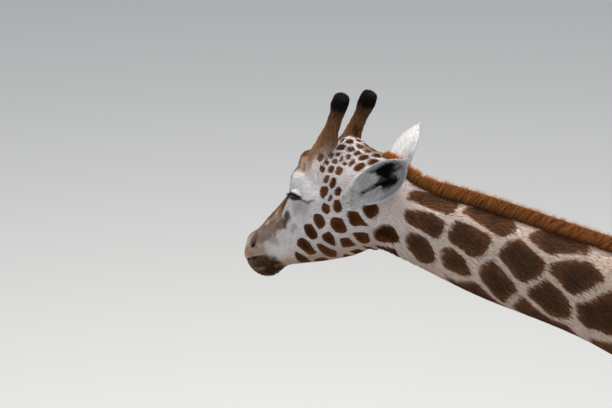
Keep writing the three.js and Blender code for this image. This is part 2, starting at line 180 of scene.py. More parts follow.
def circle(count: int) -> Array:
    """Even angles once round, in radians."""
    return np.linspace(0, 2 * np.pi, count, endpoint=False)


def wrapped(angle: Array) -> Array:
    """Angles brought between minus and plus pi."""
    return (angle + np.pi) % (2 * np.pi) - np.pi


def both_sides(place: Array) -> Array:
    """Forward, left and up with the left made positive, so that both sides of the animal are alike."""
    return np.stack([place[..., 0], np.abs(place[..., 1]), place[..., 2]], -1)


def unit(v: Array) -> Array:
    """Vectors at length 1."""
    return v / np.maximum(np.linalg.norm(v, axis=-1, keepdims=True), 1e-12)


def square(v: Array, axis: Array) -> Array:
    """Vectors turned square to unit axes, at length 1: unit(v - axis * (v . axis))."""
    return unit(v - axis * (v * axis).sum(-1, keepdims=True))


def turned(v: Array, pitch: Array, yaw: Array, roll: Array) -> Array:
    """Forward, left and up of something turned by a roll, a pitch and a yaw, in the giraffe's frame.

    The vector (left, -forward, up) turns about y by the roll, then about x by the pitch, then about z.

    Args:
        v: forward, left and up in the last axis.
        pitch: nose up, in radians, of a shape that fits v's other axes.
        yaw: to the left.
        roll: left side up.

    Returns:
        x, y and z in the last axis.
    """
    x, y, z = v[..., 1], -v[..., 0], v[..., 2]
    c, s = np.cos(roll), np.sin(roll)
    x, z = x * c - z * s, x * s + z * c
    c, s = np.cos(pitch), np.sin(pitch)
    y, z = y * c + z * s, z * c - y * s
    c, s = np.cos(yaw), np.sin(yaw)
    return np.stack([x * c - y * s, x * s + y * c, z], -1)


def bend(forward: Array) -> tuple[Array, Array, Array]:
    """How far the neck has bent sideways at a distance forward, how far it is turned, and its roll.

    Args:
        forward: how far forward, in mm.

    Returns:
        The sideways shift in mm, and the yaw and roll in radians.
    """
    part = np.maximum(0, (forward - BEND_FROM) / BEND_LENGTH)
    side = BEND_SIDE * part * part
    return side, np.arctan(2 * BEND_SIDE * part / BEND_LENGTH), HEAD_TURN[2] * np.minimum(part, 1) / 2


SKULL_BACK = np.array([bend(np.array(HEAD_BACK[0]))[0], -HEAD_BACK[0], HEAD_BACK[1]])
HEAD_AXES = turned(np.eye(3), *HEAD_TURN)


def on_head(place: Array, side: int = 1) -> Array:
    """Forward, left and up in the head's frame (right with side -1), as points of the giraffe's frame."""
    return np.asarray(place, float) * [1, side, 1] @ HEAD_AXES + SKULL_BACK


def to_head(points: Array) -> Array:
    """Points of the giraffe's frame as forward, left and up in the head's frame."""
    return (points - SKULL_BACK) @ HEAD_AXES.T


def from_eyes(points: Array) -> Array:
    """How far each point is from the nearer eye's middle."""
    return np.minimum(*(np.linalg.norm(points - on_head(EYE_AT, side), axis=-1) for side in (1, -1)))


EYE_PLACE = on_head(EYE_AT)
SHIFT = np.mean([np.array(corner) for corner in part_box("eye_left")], 0) - EYE_PLACE * MM


def placed(points: Array) -> Array:
    """Points in mm in the giraffe's frame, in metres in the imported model's frame."""
    return points * MM + SHIFT


def speckle(points: Array, size: float, seed: int = 0) -> Array:
    """Soft noise from -1 to 1: random values on a cubic lattice, eased between its corners.

    Args:
        points: x, y and z in the last axis.
        size: the lattice's spacing, in the points' unit.
        seed: picks another set of random values.

    Returns:
        One value a point.
    """
    p = points / size + 1000.0
    cell = np.floor(p).astype(np.int64)
    k = p - cell
    k = k * k * (3 - 2 * k)
    out = np.zeros(points.shape[:-1])
    for corner in range(8):
        step = np.array([corner & 1, corner >> 1 & 1, corner >> 2 & 1])
        q = cell + step
        h = q[..., 0] * 73856093 ^ q[..., 1] * 19349663 ^ q[..., 2] * 83492791 ^ seed * 2654435
        h = (h ^ h >> 13) * 1274126177 & 0x7FFFFFFF
        h = (h ^ h >> 15) & 0xFFFF
        weight = np.prod(np.where(step, k, 1 - k), -1)
        out += weight * (h / 32767.5 - 1)
    return out


def from_line(points: Array, start: Array, end: Array) -> Array:
    """How far points are from a straight line between two ends.

    Args:
        points: x, y and z in the last axis.
        start: one end of the line.
        end: the other.

    Returns:
        One distance a point.
    """
    start, end = np.asarray(start, float), np.asarray(end, float)
    way = end - start
    along = np.clip((points - start) @ way / max(way @ way, 1e-9), 0, 1)
    return np.linalg.norm(points - start - along[..., None] * way, axis=-1)


# ------------------------------------------------------------------ forms raised on and pressed into the skin
@dataclass(frozen=True)
class Ridge:
    """A swelling (or, with a negative height, a groove) along a line, on both sides of the animal.

    It stands height * exp(-(distance / spread)^2 / 2) high.
    """

    start: Triple
    end: Triple
    spread: float
    height: float

    def rise(self, place: Array) -> Array:
        """How far it pushes each point outwards; place holds forward, |left| and up."""
        return self.height * bell(from_line(place, self.start, self.end) / self.spread)


def knob(at: Triple, spread: float, height: float) -> Ridge:
    """A round swelling."""
    return Ridge(at, at, spread, height)


HEAD_SOLID_FORMS = (  # the same as the solids have
    knob((244, 86, 88), 28, 10), knob((296, 60, 108), 24, -14), knob((272, 104, 30), 22, -7),
    knob((215, 112, -4), 36, 6), knob((135, 88, -84), 52, 13), knob((372, 70, -18), 42, -10),
    knob((264, 0, 152), 40, 46), knob((507, 0, 24), 22, -9), knob((550, 38, -4), 20, 8),
    knob((494, 52, -76), 20, -6), knob((542, 0, -124), 34, 18), knob((72, 0, 132), 36, 44),
    knob((150, 50, 130), 34, 14),
)
HEAD_FORMS = (
    knob((252, 104, 44), 15, -24),  # the eye's bowl
    Ridge((286, 92, 84), (212, 106, 92), 11, 6),  # brow
    Ridge((292, 98, 66), (206, 116, 70), 4.5, -3),  # fold above the upper lid
    Ridge((286, 108, 14), (214, 124, 2), 6, -3),  # folds below the eye
    Ridge((270, 112, 0), (210, 126, -12), 5, 2.5),
    Ridge((292, 96, 38), (338, 80, 8), 6, -3.5),  # tear groove
    Ridge((318, 92, -12), (196, 118, -22), 11, 4),  # cheekbone's edge
    Ridge((330, 64, 36), (470, 46, -4), 11, -3.5),  # beside the nose
    Ridge((360, 30, 56), (500, 24, 12), 13, 3),  # along the nose's bridge
    Ridge((352, 82, -40), (430, 64, -58), 16, 4),  # cheek before the teeth
    Ridge((440, 62, -40), (486, 56, -66), 7, -3),
    Ridge((520, 38, 2), (520, 48, -17), 4.5, -7),  # nostril's slit
    Ridge((520, 48, -17), (536, 47, -34), 5, -12),
    Ridge((556, 36, 6), (560, 46, -30), 6.5, 4),  # its front rim
    Ridge((508, 44, 12), (514, 54, -28), 7, 4.5),  # the fold behind it
    Ridge((492, 48, 6), (486, 55, -30), 6, -3),
    Ridge((496, 54, -12), (470, 56, -44), 7, 2.5),
    Ridge((592, 22, -70), (571, 51, -73), 3.6, -6),  # mouth
    Ridge((571, 51, -73), (544, 54, -78), 3.6, -7),
    Ridge((544, 54, -78), (500, 50, -80), 3.6, -7),
    Ridge((580, 38, -54), (528, 55, -60), 9, 4.5),  # upper lip
    Ridge((566, 42, -90), (516, 46, -96), 9, 4),  # lower lip
    Ridge((478, 54, -62), (470, 52, -100), 6, -3.5),  # behind the mouth's corner
    Ridge((238, 106, -50), (214, 98, -160), 10, -4.5),  # the jaw muscle's front edge
    Ridge((120, 96, -96), (180, 86, -160), 24, 5),
    Ridge((44, 98, -20), (66, 84, -150), 13, -8),  # behind the jaw
    knob((152, 108, 46), 22, -6),  # temple
    Ridge((150, 110, 4), (210, 118, 14), 12, 3.5),
    Ridge((178, 56, 126), (246, 78, 96), 15, 7),  # from the horn's foot to the brow
    Ridge((200, 24, 140), (262, 40, 124), 14, -6),  # beside the forehead's knob
    knob((40, 90, 26), 28, 7),  # the ear's root
    Ridge((306, 0, 128), (225, 0, 186), 14, 4),
    knob((262, 0, 164), 32, 10),
)
TRUNK_FORMS = (  # forward, |side|, height
    Ridge((500, 150, 2350), (410, 262, 1960), 42, 13),  # shoulder blade
    Ridge((560, 150, 2260), (520, 235, 2000), 46, -9),
    knob((455, 240, 1850), 85, 12),
    Ridge((230, 280, 2160), (205, 300, 1840), 62, -13),  # behind the shoulder
    knob((-560, 205, 2200), 58, 20),  # hip
    Ridge((-880, 120, 2110), (-930, 110, 2040), 44, 9),
    Ridge((-455, 270, 1950), (-520, 240, 1760), 62, -15),  # flank
    Ridge((-300, 300, 2060), (60, 305, 2010), 120, 7),  # ribs
    Ridge((620, 200, 2120), (470, 190, 1900), 60, 8),  # chest
    Ridge((250, 0, 2600), (420, 0, 2620), 70, 6),
)
LEG_FORMS = (  # forward, |side|, height; the inner and the outer face of each leg
    knob((440, 160, 965), 34, 7), knob((392, 208, 985), 24, 5), knob((392, 114, 985), 24, 5),
    knob((236, 198, 1672), 46, 16), Ridge((330, 236, 1600), (356, 222, 1250), 30, 5),
    Ridge((430, 226, 1560), (400, 212, 1200), 16, -4),
    Ridge((364, 190, 830), (359, 188, 330), 9, -5), Ridge((364, 120, 830), (359, 118, 330), 9, -5),
    knob((322, 152, 262), 22, 9), knob((-890, 152, 262), 22, 9),
    Ridge((404, 186, 300), (398, 186, 240), 14, 4), Ridge((-808, 186, 300), (-814, 186, 240), 14, 4),
    Ridge((-872, 190, 790), (-856, 187, 330), 9, -5), Ridge((-872, 122, 790), (-856, 120, 330), 9, -5),
    knob((-950, 162, 1100), 26, 13), Ridge((-868, 204, 1180), (-822, 212, 1380), 20, -10),
    Ridge((-868, 126, 1180), (-822, 130, 1380), 20, -8), knob((-880, 208, 1030), 22, 6),
    knob((-598, 200, 1690), 62, 16), Ridge((-700, 268, 1820), (-740, 250, 1560), 60, 9),
    Ridge((-800, 240, 1500), (-848, 214, 1250), 16, 5),
)


def relief(forms: tuple[Ridge, ...], place: Array) -> Array:
    """The sum of all the forms' rises; place holds forward, left and up, and both sides are alike."""
    return sum(form.rise(both_sides(place)) for form in forms)


# ------------------------------------------------------------------ meshes from arrays
@dataclass
class Faces:
    """Faces as one run of corners: the vertices, where each face starts, and each corner's map place."""

    corners: Array
    starts: Array
    uv: Array

    def joined(self, other: "Faces", shift: int) -> "Faces":
        """These faces and another set whose vertices are counted from shift.

        Args:
            other: the other faces.
            shift: how many vertices come before theirs.

        Returns:
            All the faces.
        """
        corners = np.concatenate([self.corners, other.corners + shift])
        starts = np.concatenate([self.starts, other.starts + len(self.corners)])
        return Faces(corners, starts, np.concatenate([self.uv, other.uv]))

    def turned_over(self) -> "Faces":
        """The same faces looking the other way: each face's corners in reverse.

        Returns:
            The faces.
        """
        ends = np.append(self.starts[1:], len(self.corners))
        owner = np.repeat(np.arange(len(self.starts)), ends - self.starts)
        back = self.starts[owner] + ends[owner] - 1 - np.arange(len(self.corners))
        return Faces(self.corners[back], self.starts, self.uv[back])


def lattice(rows: int, cols: int, closed: bool = True) -> Faces:
    """Four-sided faces over a grid of points, row by row, joined round when closed.

    Corner (i, j) of the grid is vertex i * cols + j, at u = j / cols and v = i / (rows - 1).

    Args:
        rows: how many rows the grid has.
        cols: how many points a row has.
        closed: whether each row runs round.

    Returns:
        The faces.
    """
    across = cols if closed else cols - 1
    i, j = (a.ravel() for a in np.meshgrid(np.arange(rows - 1), np.arange(across), indexing="ij"))
    k = (j + 1) % cols
    quad = np.stack([i * cols + j, i * cols + k, (i + 1) * cols + k, (i + 1) * cols + j], -1)
    u = np.stack([j, j + 1, j + 1, j], -1) / across
    v = np.stack([i, i, i + 1, i + 1], -1) / (rows - 1)
    uv = np.stack([u, v], -1).reshape(-1, 2)
    return Faces(quad.ravel(), np.arange(0, quad.size, 4), uv)


def capped(points: Array, poles: Optional[tuple[Array, Array]] = None) -> tuple[Array, Faces]:
    """A closed skin over rings of points: the grid's faces, and a fan of triangles to a pole at each end.

    Args:
        points: rings, points round each ring, and x, y, z.
        poles: the points that close the first and the last ring, or nothing for the rings' own middles.

    Returns:
        The vertices and the faces, which look outwards.
    """
    rows, cols = points.shape[:2]
    poles = poles or (points[0].mean(0), points[-1].mean(0))
    verts = np.concatenate([points.reshape(-1, 3), np.stack(poles)])
    j = np.arange(cols)
    k = (j + 1) % cols
    first = np.stack([np.full(cols, rows * cols), k, j], -1)
    last = np.stack([np.full(cols, rows * cols + 1), (rows - 1) * cols + j, (rows - 1) * cols + k], -1)
    u_first = np.stack([j + 0.5, j + 1, j], -1) / cols
    u_last = np.stack([j + 0.5, j, j + 1], -1) / cols
    v_first = np.tile([-0.002, 0, 0], (cols, 1))
    v_last = np.tile([1.002, 1, 1], (cols, 1))
    uv = np.stack([np.concatenate([u_first, u_last]), np.concatenate([v_first, v_last])], -1).reshape(-1, 2)
    fans = Faces(np.concatenate([first, last]).ravel(), np.arange(0, cols * 6, 3), uv)
    faces = lattice(rows, cols).joined(fans, 0)
    return verts, faces if volume(verts, faces) > 0 else faces.turned_over()


def volume(verts: Array, faces: Faces) -> float:
    """The signed volume inside a closed mesh: a sum of fans of tetrahedra from the origin.

    Args:
        verts: the vertices.
        faces: the faces over them.

    Returns:
        The volume, positive when the faces look outwards.
    """
    ends = np.append(faces.starts[1:], len(faces.corners))
    total = 0.0
    for step in range(1, int((ends - faces.starts).max()) - 1):
        has = ends - faces.starts > step + 1
        a, b, c = (verts[faces.corners[faces.starts[has] + k]] for k in (0, step, step + 1))
        total += float((a * np.cross(b, c)).sum()) / 6
    return total


def make_mesh(name: str, verts: Array, faces: Faces, uv_name: str = "OFBake") -> Object:
    """A smooth-shaded mesh object from arrays in metres, linked to the scene.

    Args:
        name: the object's name.
        verts: vertices in metres.
        faces: the faces over them.
        uv_name: the map's name.

    Returns:
        The object.
    """
    mesh = bpy.data.meshes.new(name)
    mesh.vertices.add(len(verts))
    mesh.vertices.foreach_set("co", np.ascontiguousarray(verts, np.float32).ravel())
    mesh.loops.add(len(faces.corners))
    mesh.loops.foreach_set("vertex_index", faces.corners.astype(np.int32))
    mesh.polygons.add(len(faces.starts))
    mesh.polygons.foreach_set("loop_start", faces.starts.astype(np.int32))
    mesh.update(calc_edges=True)
    mesh.uv_layers.new(name=uv_name).data.foreach_set("uv", faces.uv.astype(np.float32).ravel())
    mesh.polygons.foreach_set("use_smooth", np.ones(len(faces.starts), bool))
    mesh.validate()
    made = bpy.data.objects.new(name, mesh)
    bpy.context.scene.collection.objects.link(made)
    return made


def read(items: bpy.types.bpy_prop_collection, name: str, width: int, kind: type = np.float32) -> Array:
    """One row of numbers for each of a mesh's items.

    Args:
        items: vertices, edges, triangles or the like.
        name: what is read.
        width: how many numbers an item has.
        kind: their type.

    Returns:
        The numbers.
    """
    values = np.empty(len(items) * width, kind)
    items.foreach_get(name, values)
    return values.reshape(-1, width)


def nearest(points: Array, rows: Array) -> KDTree:
    """A tree that finds the nearest of some rows of the points, and gives its row.

    Args:
        points: x, y and z in rows.
        rows: the rows that count.

    Returns:
        The tree.
    """
    tree = KDTree(len(rows))
    for i in rows.tolist():
        tree.insert(points[i], i)
    tree.balance()
    return tree


def store(made: Object, values: dict[str, Array]) -> None:
    """Puts named numbers, vectors or colours on a mesh's vertices.

    Args:
        made: the mesh object.
        values: one row a vertex, by name.
    """
    for name, value in values.items():
        kind, key = {1: ("FLOAT", "value"), 3: ("FLOAT_VECTOR", "vector"), 4: ("FLOAT_COLOR", "color")}[
            value.size // len(value)]
        data = made.data.attributes.new(name, kind, "POINT").data
        data.foreach_set(key, np.ascontiguousarray(value, np.float32).ravel())


def dress(made: Object, material: Material, slot: str, *nodes: str) -> Object:
    """Gives a finished piece its material and its body, and hides the model's nodes that it stands for.

    Args:
        made: the piece.
        material: its finish.
        slot: not used.
        nodes: the model's nodes that it stands for.

    Returns:
        The piece.
    """
    made.data.materials.clear()
    made.data.materials.append(material)
    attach(made, "root")
    if nodes:
        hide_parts(*nodes)
    LOG.info("%s: %d vertices, %d faces", made.name, len(made.data.vertices), len(made.data.polygons))
    return made


def piece(
    name: str, shape: tuple[Array, Faces], values: dict[str, Array], material: Material, slot: str,
    *nodes: str,
) -> Object:
    """A finished piece from vertices in mm and faces, with named values at its vertices.

    Args:
        name: the piece's name.
        shape: its vertices and faces.
        values: what its material reads at them.
        material: its finish.
        slot: its slot.
        nodes: the nodes it stands for.

    Returns:
        The piece.
    """
    made = make_mesh(name, placed(shape[0]), shape[1])
    store(made, values)
    return dress(made, material, slot, *nodes)


@dataclass
class Marks:
    """What the coat's material reads at each vertex.

    edge is how far inside a dark patch it lies in metres, tone how dark that patch is, fuzz how ragged the
    patch's border is in metres, ground the pale hair's colour, lie the way along and across the hair.
    """

    edge: Array
    tone: Array
    fuzz: Array
    ground: Array
    lie: Array

    def stored(self) -> dict[str, Array]:
        """All of it by the names that the material reads."""
        ground = np.concatenate([self.ground, np.ones((len(self.ground), 1))], 1)
        return {"edge": self.edge, "tone": self.tone, "fuzz": self.fuzz, "lie": self.lie, "ground": ground}

    def at(self, rows: Array, weights: Optional[Array] = None) -> "Marks":
        """The marks at some rows, or at weighted means of rows.

        Args:
            rows: row numbers, one or three a point.
            weights: the share of each row.

        Returns:
            The marks at the points.
        """
        picked = (getattr(self, f.name)[rows] for f in fields(self))
        if weights is not None:
            picked = (np.einsum("ij,ij...->i...", weights, values) for values in picked)
        return Marks(*picked)


# ------------------------------------------------------------------ the flesh
class Part(IntEnum):
    """Which part of the flesh a vertex belongs to."""

    BODY = 0
    FORE_LEFT = 1
    FORE_RIGHT = 2
    HIND_LEFT = 3
    HIND_RIGHT = 4
    EAR_LEFT = 5
    EAR_RIGHT = 6
    TAIL = 7


# Where each part's own map lies on the skin's map: left, bottom, width, height.
CHARTS = {
    Part.BODY: (0.01, 0.01, 0.58, 0.98), Part.FORE_LEFT: (0.61, 0.01, 0.08, 0.7),
    Part.FORE_RIGHT: (0.70, 0.01, 0.08, 0.7), Part.HIND_LEFT: (0.79, 0.01, 0.08, 0.7),
    Part.HIND_RIGHT: (0.88, 0.01, 0.08, 0.7), Part.EAR_LEFT: (0.61, 0.73, 0.17, 0.25),
    Part.EAR_RIGHT: (0.80, 0.73, 0.17, 0.25), Part.TAIL: (0.975, 0.01, 0.02, 0.7),
}


def is_leg(part: Array) -> Array:
    """Whether each part number is a leg's."""
    return (part >= Part.FORE_LEFT) & (part <= Part.HIND_RIGHT)


def is_ear(part: Array) -> Array:
    """Whether each part number is an ear's."""
    return (part == Part.EAR_LEFT) | (part == Part.EAR_RIGHT)


@dataclass
class Flesh:
    """One closed part of the flesh: its grid of points in mm and what the coat needs to know there.

    along runs with the hair in mm, around is how far round the part a point is in mm (both only ever used
    as places for noise), flow is the way the hair points, and row and turn are the grid's own numbers.
    """

    part: Part
    points: Array
    poles: tuple[Array, Array]
    flow: Array
    along: Array
    around: Array
    row: Array
    turn: Array

    def __post_init__(self) -> None:
        """Spreads what was given for rows or columns alone over the whole grid."""
        shape = self.points.shape[:2]
        for name in ("along", "around", "row", "turn"):
            setattr(self, name, np.broadcast_to(getattr(self, name), shape))

    def mesh(self) -> Object:
        """A closed mesh in mm, with the part's chart as its map.

        Returns:
            The object.
        """
        verts, faces = capped(self.points, self.poles)
        left, bottom, wide, high = CHARTS[self.part]
        faces.uv = np.array([left, bottom]) + np.array([wide, high]) * np.clip(faces.uv, 0, 1)
        return make_mesh(self.part.name.lower(), verts, faces)

    def table(self) -> Array:
        """One row for each vertex: part, row, turn, along, around, flow.

        Returns:
            The rows in the mesh's order, the two poles last.
        """
        grid = np.concatenate([
            np.full(self.points.shape[:2] + (1,), float(self.part)), self.row[..., None],
            self.turn[..., None], self.along[..., None], self.around[..., None], self.flow,
        ], -1)
        ends = np.stack([grid[0].mean(0), grid[-1].mean(0)])
        ends[:, 2] = 0
        return np.concatenate([grid.reshape(-1, grid.shape[-1]), ends])

    def vertices(self) -> Array:
        """All its points in the mesh's order."""
        return np.concatenate([self.points.reshape(-1, 3), np.stack(self.poles)])


@dataclass
class Body:
    """The rump, trunk, neck and head: rings along one path, shaped by the stations above."""

    columns: int = 168
    sideways: float = 0.35  # how much closer the columns lie on the flanks than on the back
    stations: Array = field(init=False)
    dense_t: Array = field(init=False)
    dense_arc: Array = field(init=False)

    def __post_init__(self) -> None:
        """Puts the spine's and the skull's stations into one table, and measures the path."""
        side, yaw, roll = bend(SPINE[:, 0])
        spine = np.stack([side, -SPINE[:, 0], SPINE[:, 1], np.radians(SPINE[:, 2]), yaw, roll], 1)
        middle = on_head(np.stack([SKULL[:, 0], 0 * SKULL[:, 0], SKULL[:, 1]], 1))
        turn = np.tile(HEAD_TURN, (len(SKULL), 1)) + np.radians(SKULL[:, 2:3]) * [1, 0, 0]
        skull = np.concatenate([middle, turn], 1)
        self.stations = np.concatenate([
            np.concatenate([spine, SPINE[:, 3:]], 1), np.concatenate([skull, SKULL[:, 3:]], 1),
        ])
        self.dense_t = np.linspace(0, len(self.stations) - 1, 2401)
        steps = np.diff(through(self.stations, self.dense_t)[:, :3], axis=0)
        arc = np.r_[0, np.cumsum(np.linalg.norm(steps, axis=1))]
        self.dense_arc = arc - np.interp(NAPE, self.dense_t, arc)

    def arc(self, t: Array) -> Array:
        """How far along the path a station number is from the nape, in mm towards the nose."""
        return np.interp(t, self.dense_t, self.dense_arc)

    def station(self, arc: Array) -> Array:
        """The station number at a distance from the nape."""
        return np.interp(arc, self.dense_arc, self.dense_t)

    def rings(self, t: Array, angle: Array, grow: float) -> Array:
        """Rings: side * sin(angle)^fullness across and reach * cos(angle) up, turned to the path.

        Args:
            t: a station number for each ring.
            angle: from the crest down the left side, one set for all the rings.
            grow: how much larger the outline is than the solids'.

        Returns:
            rings by angles by x, y, z.
        """
        s = through(self.stations, t)[:, None, :]
        across, level = np.sin(angle)[None], np.cos(angle)[None]
        upper = level > 0
        full = np.where(upper, s[..., 9], s[..., 10])
        side = (s[..., 6] + grow) * np.sign(across) * np.abs(across) ** full
        high = level * (np.where(upper, s[..., 7], s[..., 8]) + grow)
        local = np.stack([0 * side, side, high], -1)
        middle = s[..., :3]
        points = middle + turned(local, s[..., 3], s[..., 4], s[..., 5])
        outward = unit(points - middle)
        rise = self.relief(points, t, angle)
        return points + outward * rise[..., None]

    def relief(self, points: Array, t: Array, angle: Array) -> Array:
        """How far the forms push the skin out: the head's, the neck's and the trunk's, each where it is.

        Args:
            points: rings by angles by x, y, z.
            t: the rings' station numbers.
            angle: the columns' angles.

        Returns:
            One rise in mm a point.
        """
        out = np.zeros(points.shape[:2])
        head = t > HEAD_FROM
        place = to_head(points[head])
        out[head] = relief(HEAD_SOLID_FORMS, place) + relief(HEAD_FORMS, place)
        trunk = t < TRUNK_TO
        p = points[trunk]
        out[trunk] += relief(TRUNK_FORMS, np.stack([-p[..., 1], p[..., 0], p[..., 2]], -1))
        arc, turn = self.arc(t)[:, None], np.degrees(np.abs(angle))[None]
        neck = smooth(-1750, -1300, arc) * smooth(10, -60, arc)
        out += neck * (-5 * bell((turn - 126) / 9) + 3.5 * bell((turn - 146) / 12))
        out += neck * 3 * bell((turn - 78) / 20) * np.sin(arc / 34)
        out += neck * 3.5 * bell((turn - 40) / 16)
        throat = smooth(-150, -90, arc) * smooth(60, 10, arc) * smooth(110, 150, turn)
        out += throat * 1.1 * np.sin(arc / 4.6 + turn / 22)
        ribs = smooth(-2750, -2600, arc) * smooth(-2050, -2250, arc)
        ribs = ribs * smooth(40, 75, turn) * smooth(140, 110, turn)
        out += ribs * 2.8 * np.sin((arc + turn * 1.6) / 12)
        return out

    def turns(self) -> Array:
        """The columns' angles, closer on the flanks: phi + k / 2 * sin(2 phi)."""
        phi = circle(self.columns)
        return phi + self.sideways / 2 * np.sin(2 * phi)

    def rows(self) -> Array:
        """Station numbers whose spacing along the path follows the detail that each length needs.

        Returns:
            The station numbers.
        """
        spacing = np.interp(
            self.dense_t,
            [0, 0.6, 2, 7, 8, 10, 12, 13.2, 14, 22, 23.5, 25],
            [9, 13, 20, 20, 16, 11.5, 9.5, 5.5, 4, 3.6, 3, 1.6],
        )
        pace = np.r_[0, np.cumsum(np.diff(self.dense_arc) / spacing[1:])]
        return np.interp(np.linspace(0, pace[-1], int(pace[-1]) + 1), pace, self.dense_t)

    def flesh(self) -> Flesh:
        """The body's part of the flesh.

        Returns:
            The part.
        """
        t, angle = self.rows(), self.turns()
        points = self.rings(t, angle, -SKIN_DEPTH)
        turn = wrapped(angle)
        radius = np.interp(t, [0, 3, 6, 8, 10, 13, 15, 19, 25], [200, 300, 330, 240, 150, 115, 110, 110, 80])
        fall = np.interp(t, [0, 5, 8, 11, 14, 15], [0.5, 0.55, 0.5, 0.3, 0.12, 0])
        down = np.array([0, 0, -1.0]) * fall[:, None, None]
        flow = unit(unit(-np.gradient(points, axis=0)) + down)
        middles = points.mean(1)
        ahead = unit(middles[-1] - middles[-2])
        behind = unit(middles[0] - middles[1])
        return Flesh(
            Part.BODY, points, (middles[0] + behind * 6, middles[-1] + ahead * 4), flow,
            self.arc(t)[:, None], np.abs(turn) * radius[:, None], t[:, None], turn,
        )


@dataclass
class Leg:
    """One leg: level rings round a path of stations, with the joints' and tendons' forms."""

    part: Part
    stations: Array
    side: int  # +1 for the left
    count: int = 116
    columns: int = 36

    def flesh(self) -> Flesh:
        """Rings side + wide * sin(a) across and forward + reach * cos(a) ahead, with the leg's forms.

        Returns:
            The part.
        """
        pace = np.r_[0, np.cumsum(np.abs(np.diff(self.stations[:, 0])))]
        spread = np.interp(np.linspace(0, 1, self.count), [0, 0.45, 1], [0, 0.38, 1]) * pace[-1]
        t = np.interp(spread, pace, np.arange(len(self.stations)))
        s = through(self.stations, t)[:, None, :]
        angle = circle(self.columns)[None]
        ahead = np.cos(angle)
        grow = -SKIN_DEPTH * 0.75
        reach = np.where(ahead > 0, s[..., 4], s[..., 5]) + grow
        place = np.stack([
            s[..., 1] + reach * ahead, s[..., 2] + (s[..., 3] + grow) * np.sin(angle),
            s[..., 0] + 0 * angle,
        ], -1)
        middle = np.stack([s[..., 1], s[..., 2], s[..., 0]], -1)
        place += unit(place - middle) * relief(LEG_FORMS, place)[..., None]
        points = np.stack([place[..., 1] * self.side, -place[..., 0], place[..., 2]], -1)
        flow = unit(np.gradient(points, axis=0))
        turn = wrapped(angle)
        middles = points.mean(1)
        return Flesh(
            self.part, points, (middles[0] + [0, 0, 2], middles[-1] - [0, 0, 0.5]), flow,
            -s[..., 0], np.abs(turn) * 90, t[:, None], turn,
        )


@dataclass
class Ear:
    """One ear: a leaf rolled to a cup, from its root along one direction and open towards another."""

    part: Part
    root: Triple
    along: Triple
    opening: Triple
    sag: float  # how far its middle curves across
    length: float = 221.0
    width: float = 57.0
    bow: float = 28.0  # how far its middle curves back
    rolled: tuple[float, float] = (2.1, 0.75)  # half the leaf's roll at its root and its tip, in radians
    widths: tuple[float, ...] = (0.5, 0.85, 1, 0.97, 0.64, 0.05)
    rows: int = 56
    columns: int = 22  # across the leaf, on each of its two faces

    def axes(self) -> tuple[Array, Array, Array, Array]:
        """Its root, and the directions to its tip, out of its opening and across.

        Returns:
            The root in mm and three unit directions.
        """
        tipward = unit(np.asarray(self.along, float) @ HEAD_AXES)
        facing = square(np.asarray(self.opening, float) @ HEAD_AXES, tipward)
        return on_head(self.root), tipward, facing, np.cross(tipward, facing)

    def leaf(self, u: Array, angle_part: Array, inner: Array) -> Array:
        """Points of the leaf: an arc of a radius that suits its width, bowed over its length.

        Args:
            u: 0 at the root and 1 at the tip.
            angle_part: -1 to 1 from one edge to the other.
            inner: 1 for the cup's inside, 0 for its back.

        Returns:
            x, y, z in the last axis.
        """
        base, tipward, facing, across = self.axes()
        share = through(np.array(self.widths)[:, None], u.ravel() * (len(self.widths) - 1)).reshape(u.shape)
        half = self.width * np.maximum(share, 0.03)
        roll = blend(self.rolled[0], self.rolled[1], u)
        radius = half / np.sin(np.minimum(roll, np.pi / 2)) - 1.2
        wall = (2.2 + 2.6 * (1 - u)) * (1 - 0.75 * np.abs(angle_part) ** 6)
        edge = 3.5 * bell((np.abs(angle_part) - 0.93) / 0.07)  # the rim turns in a little
        fold = 2.2 * np.sin(angle_part * 9 + u * 3) * inner * smooth(0.75, 0.3, u) * (1 - angle_part**4)
        r = radius - (wall + fold) * inner - edge * smooth(0.1, 0.3, u) * smooth(1, 0.9, u) * 0.6
        a = roll * angle_part
        bow = np.sin(np.pi * u)
        wave = 3.0 * np.sin(u * 7) * angle_part * smooth(1, 0.8, u)
        height = radius - r * np.cos(a) - self.bow * bow + wave
        return (base + (u * self.length)[..., None] * tipward
                + (r * np.sin(a) + self.sag * bow)[..., None] * across
                + height[..., None] * facing)

    def flesh(self) -> Flesh:
        """Rings that run over the leaf's back and return along its inside.

        Returns:
            The part.
        """
        u = np.linspace(0, 1, self.rows)[:, None]
        u = 1 - (1 - u) ** 1.25
        step = np.sin(np.linspace(-np.pi / 2, np.pi / 2, self.columns))
        part = np.r_[step, step[::-1]][None]
        inner = np.r_[np.zeros(self.columns), np.ones(self.columns)][None]
        points = self.leaf(u + 0 * part, part, inner)
        flow = unit(np.gradient(points, axis=0))
        middles = points.mean(1)
        tip = middles[-1] + unit(middles[-1] - middles[-3]) * 1.5
        return Flesh(
            self.part, points, (middles[0], tip), flow, u * self.length,
            (part + 3 * inner) * 60, u, part + 4 * inner,
        )


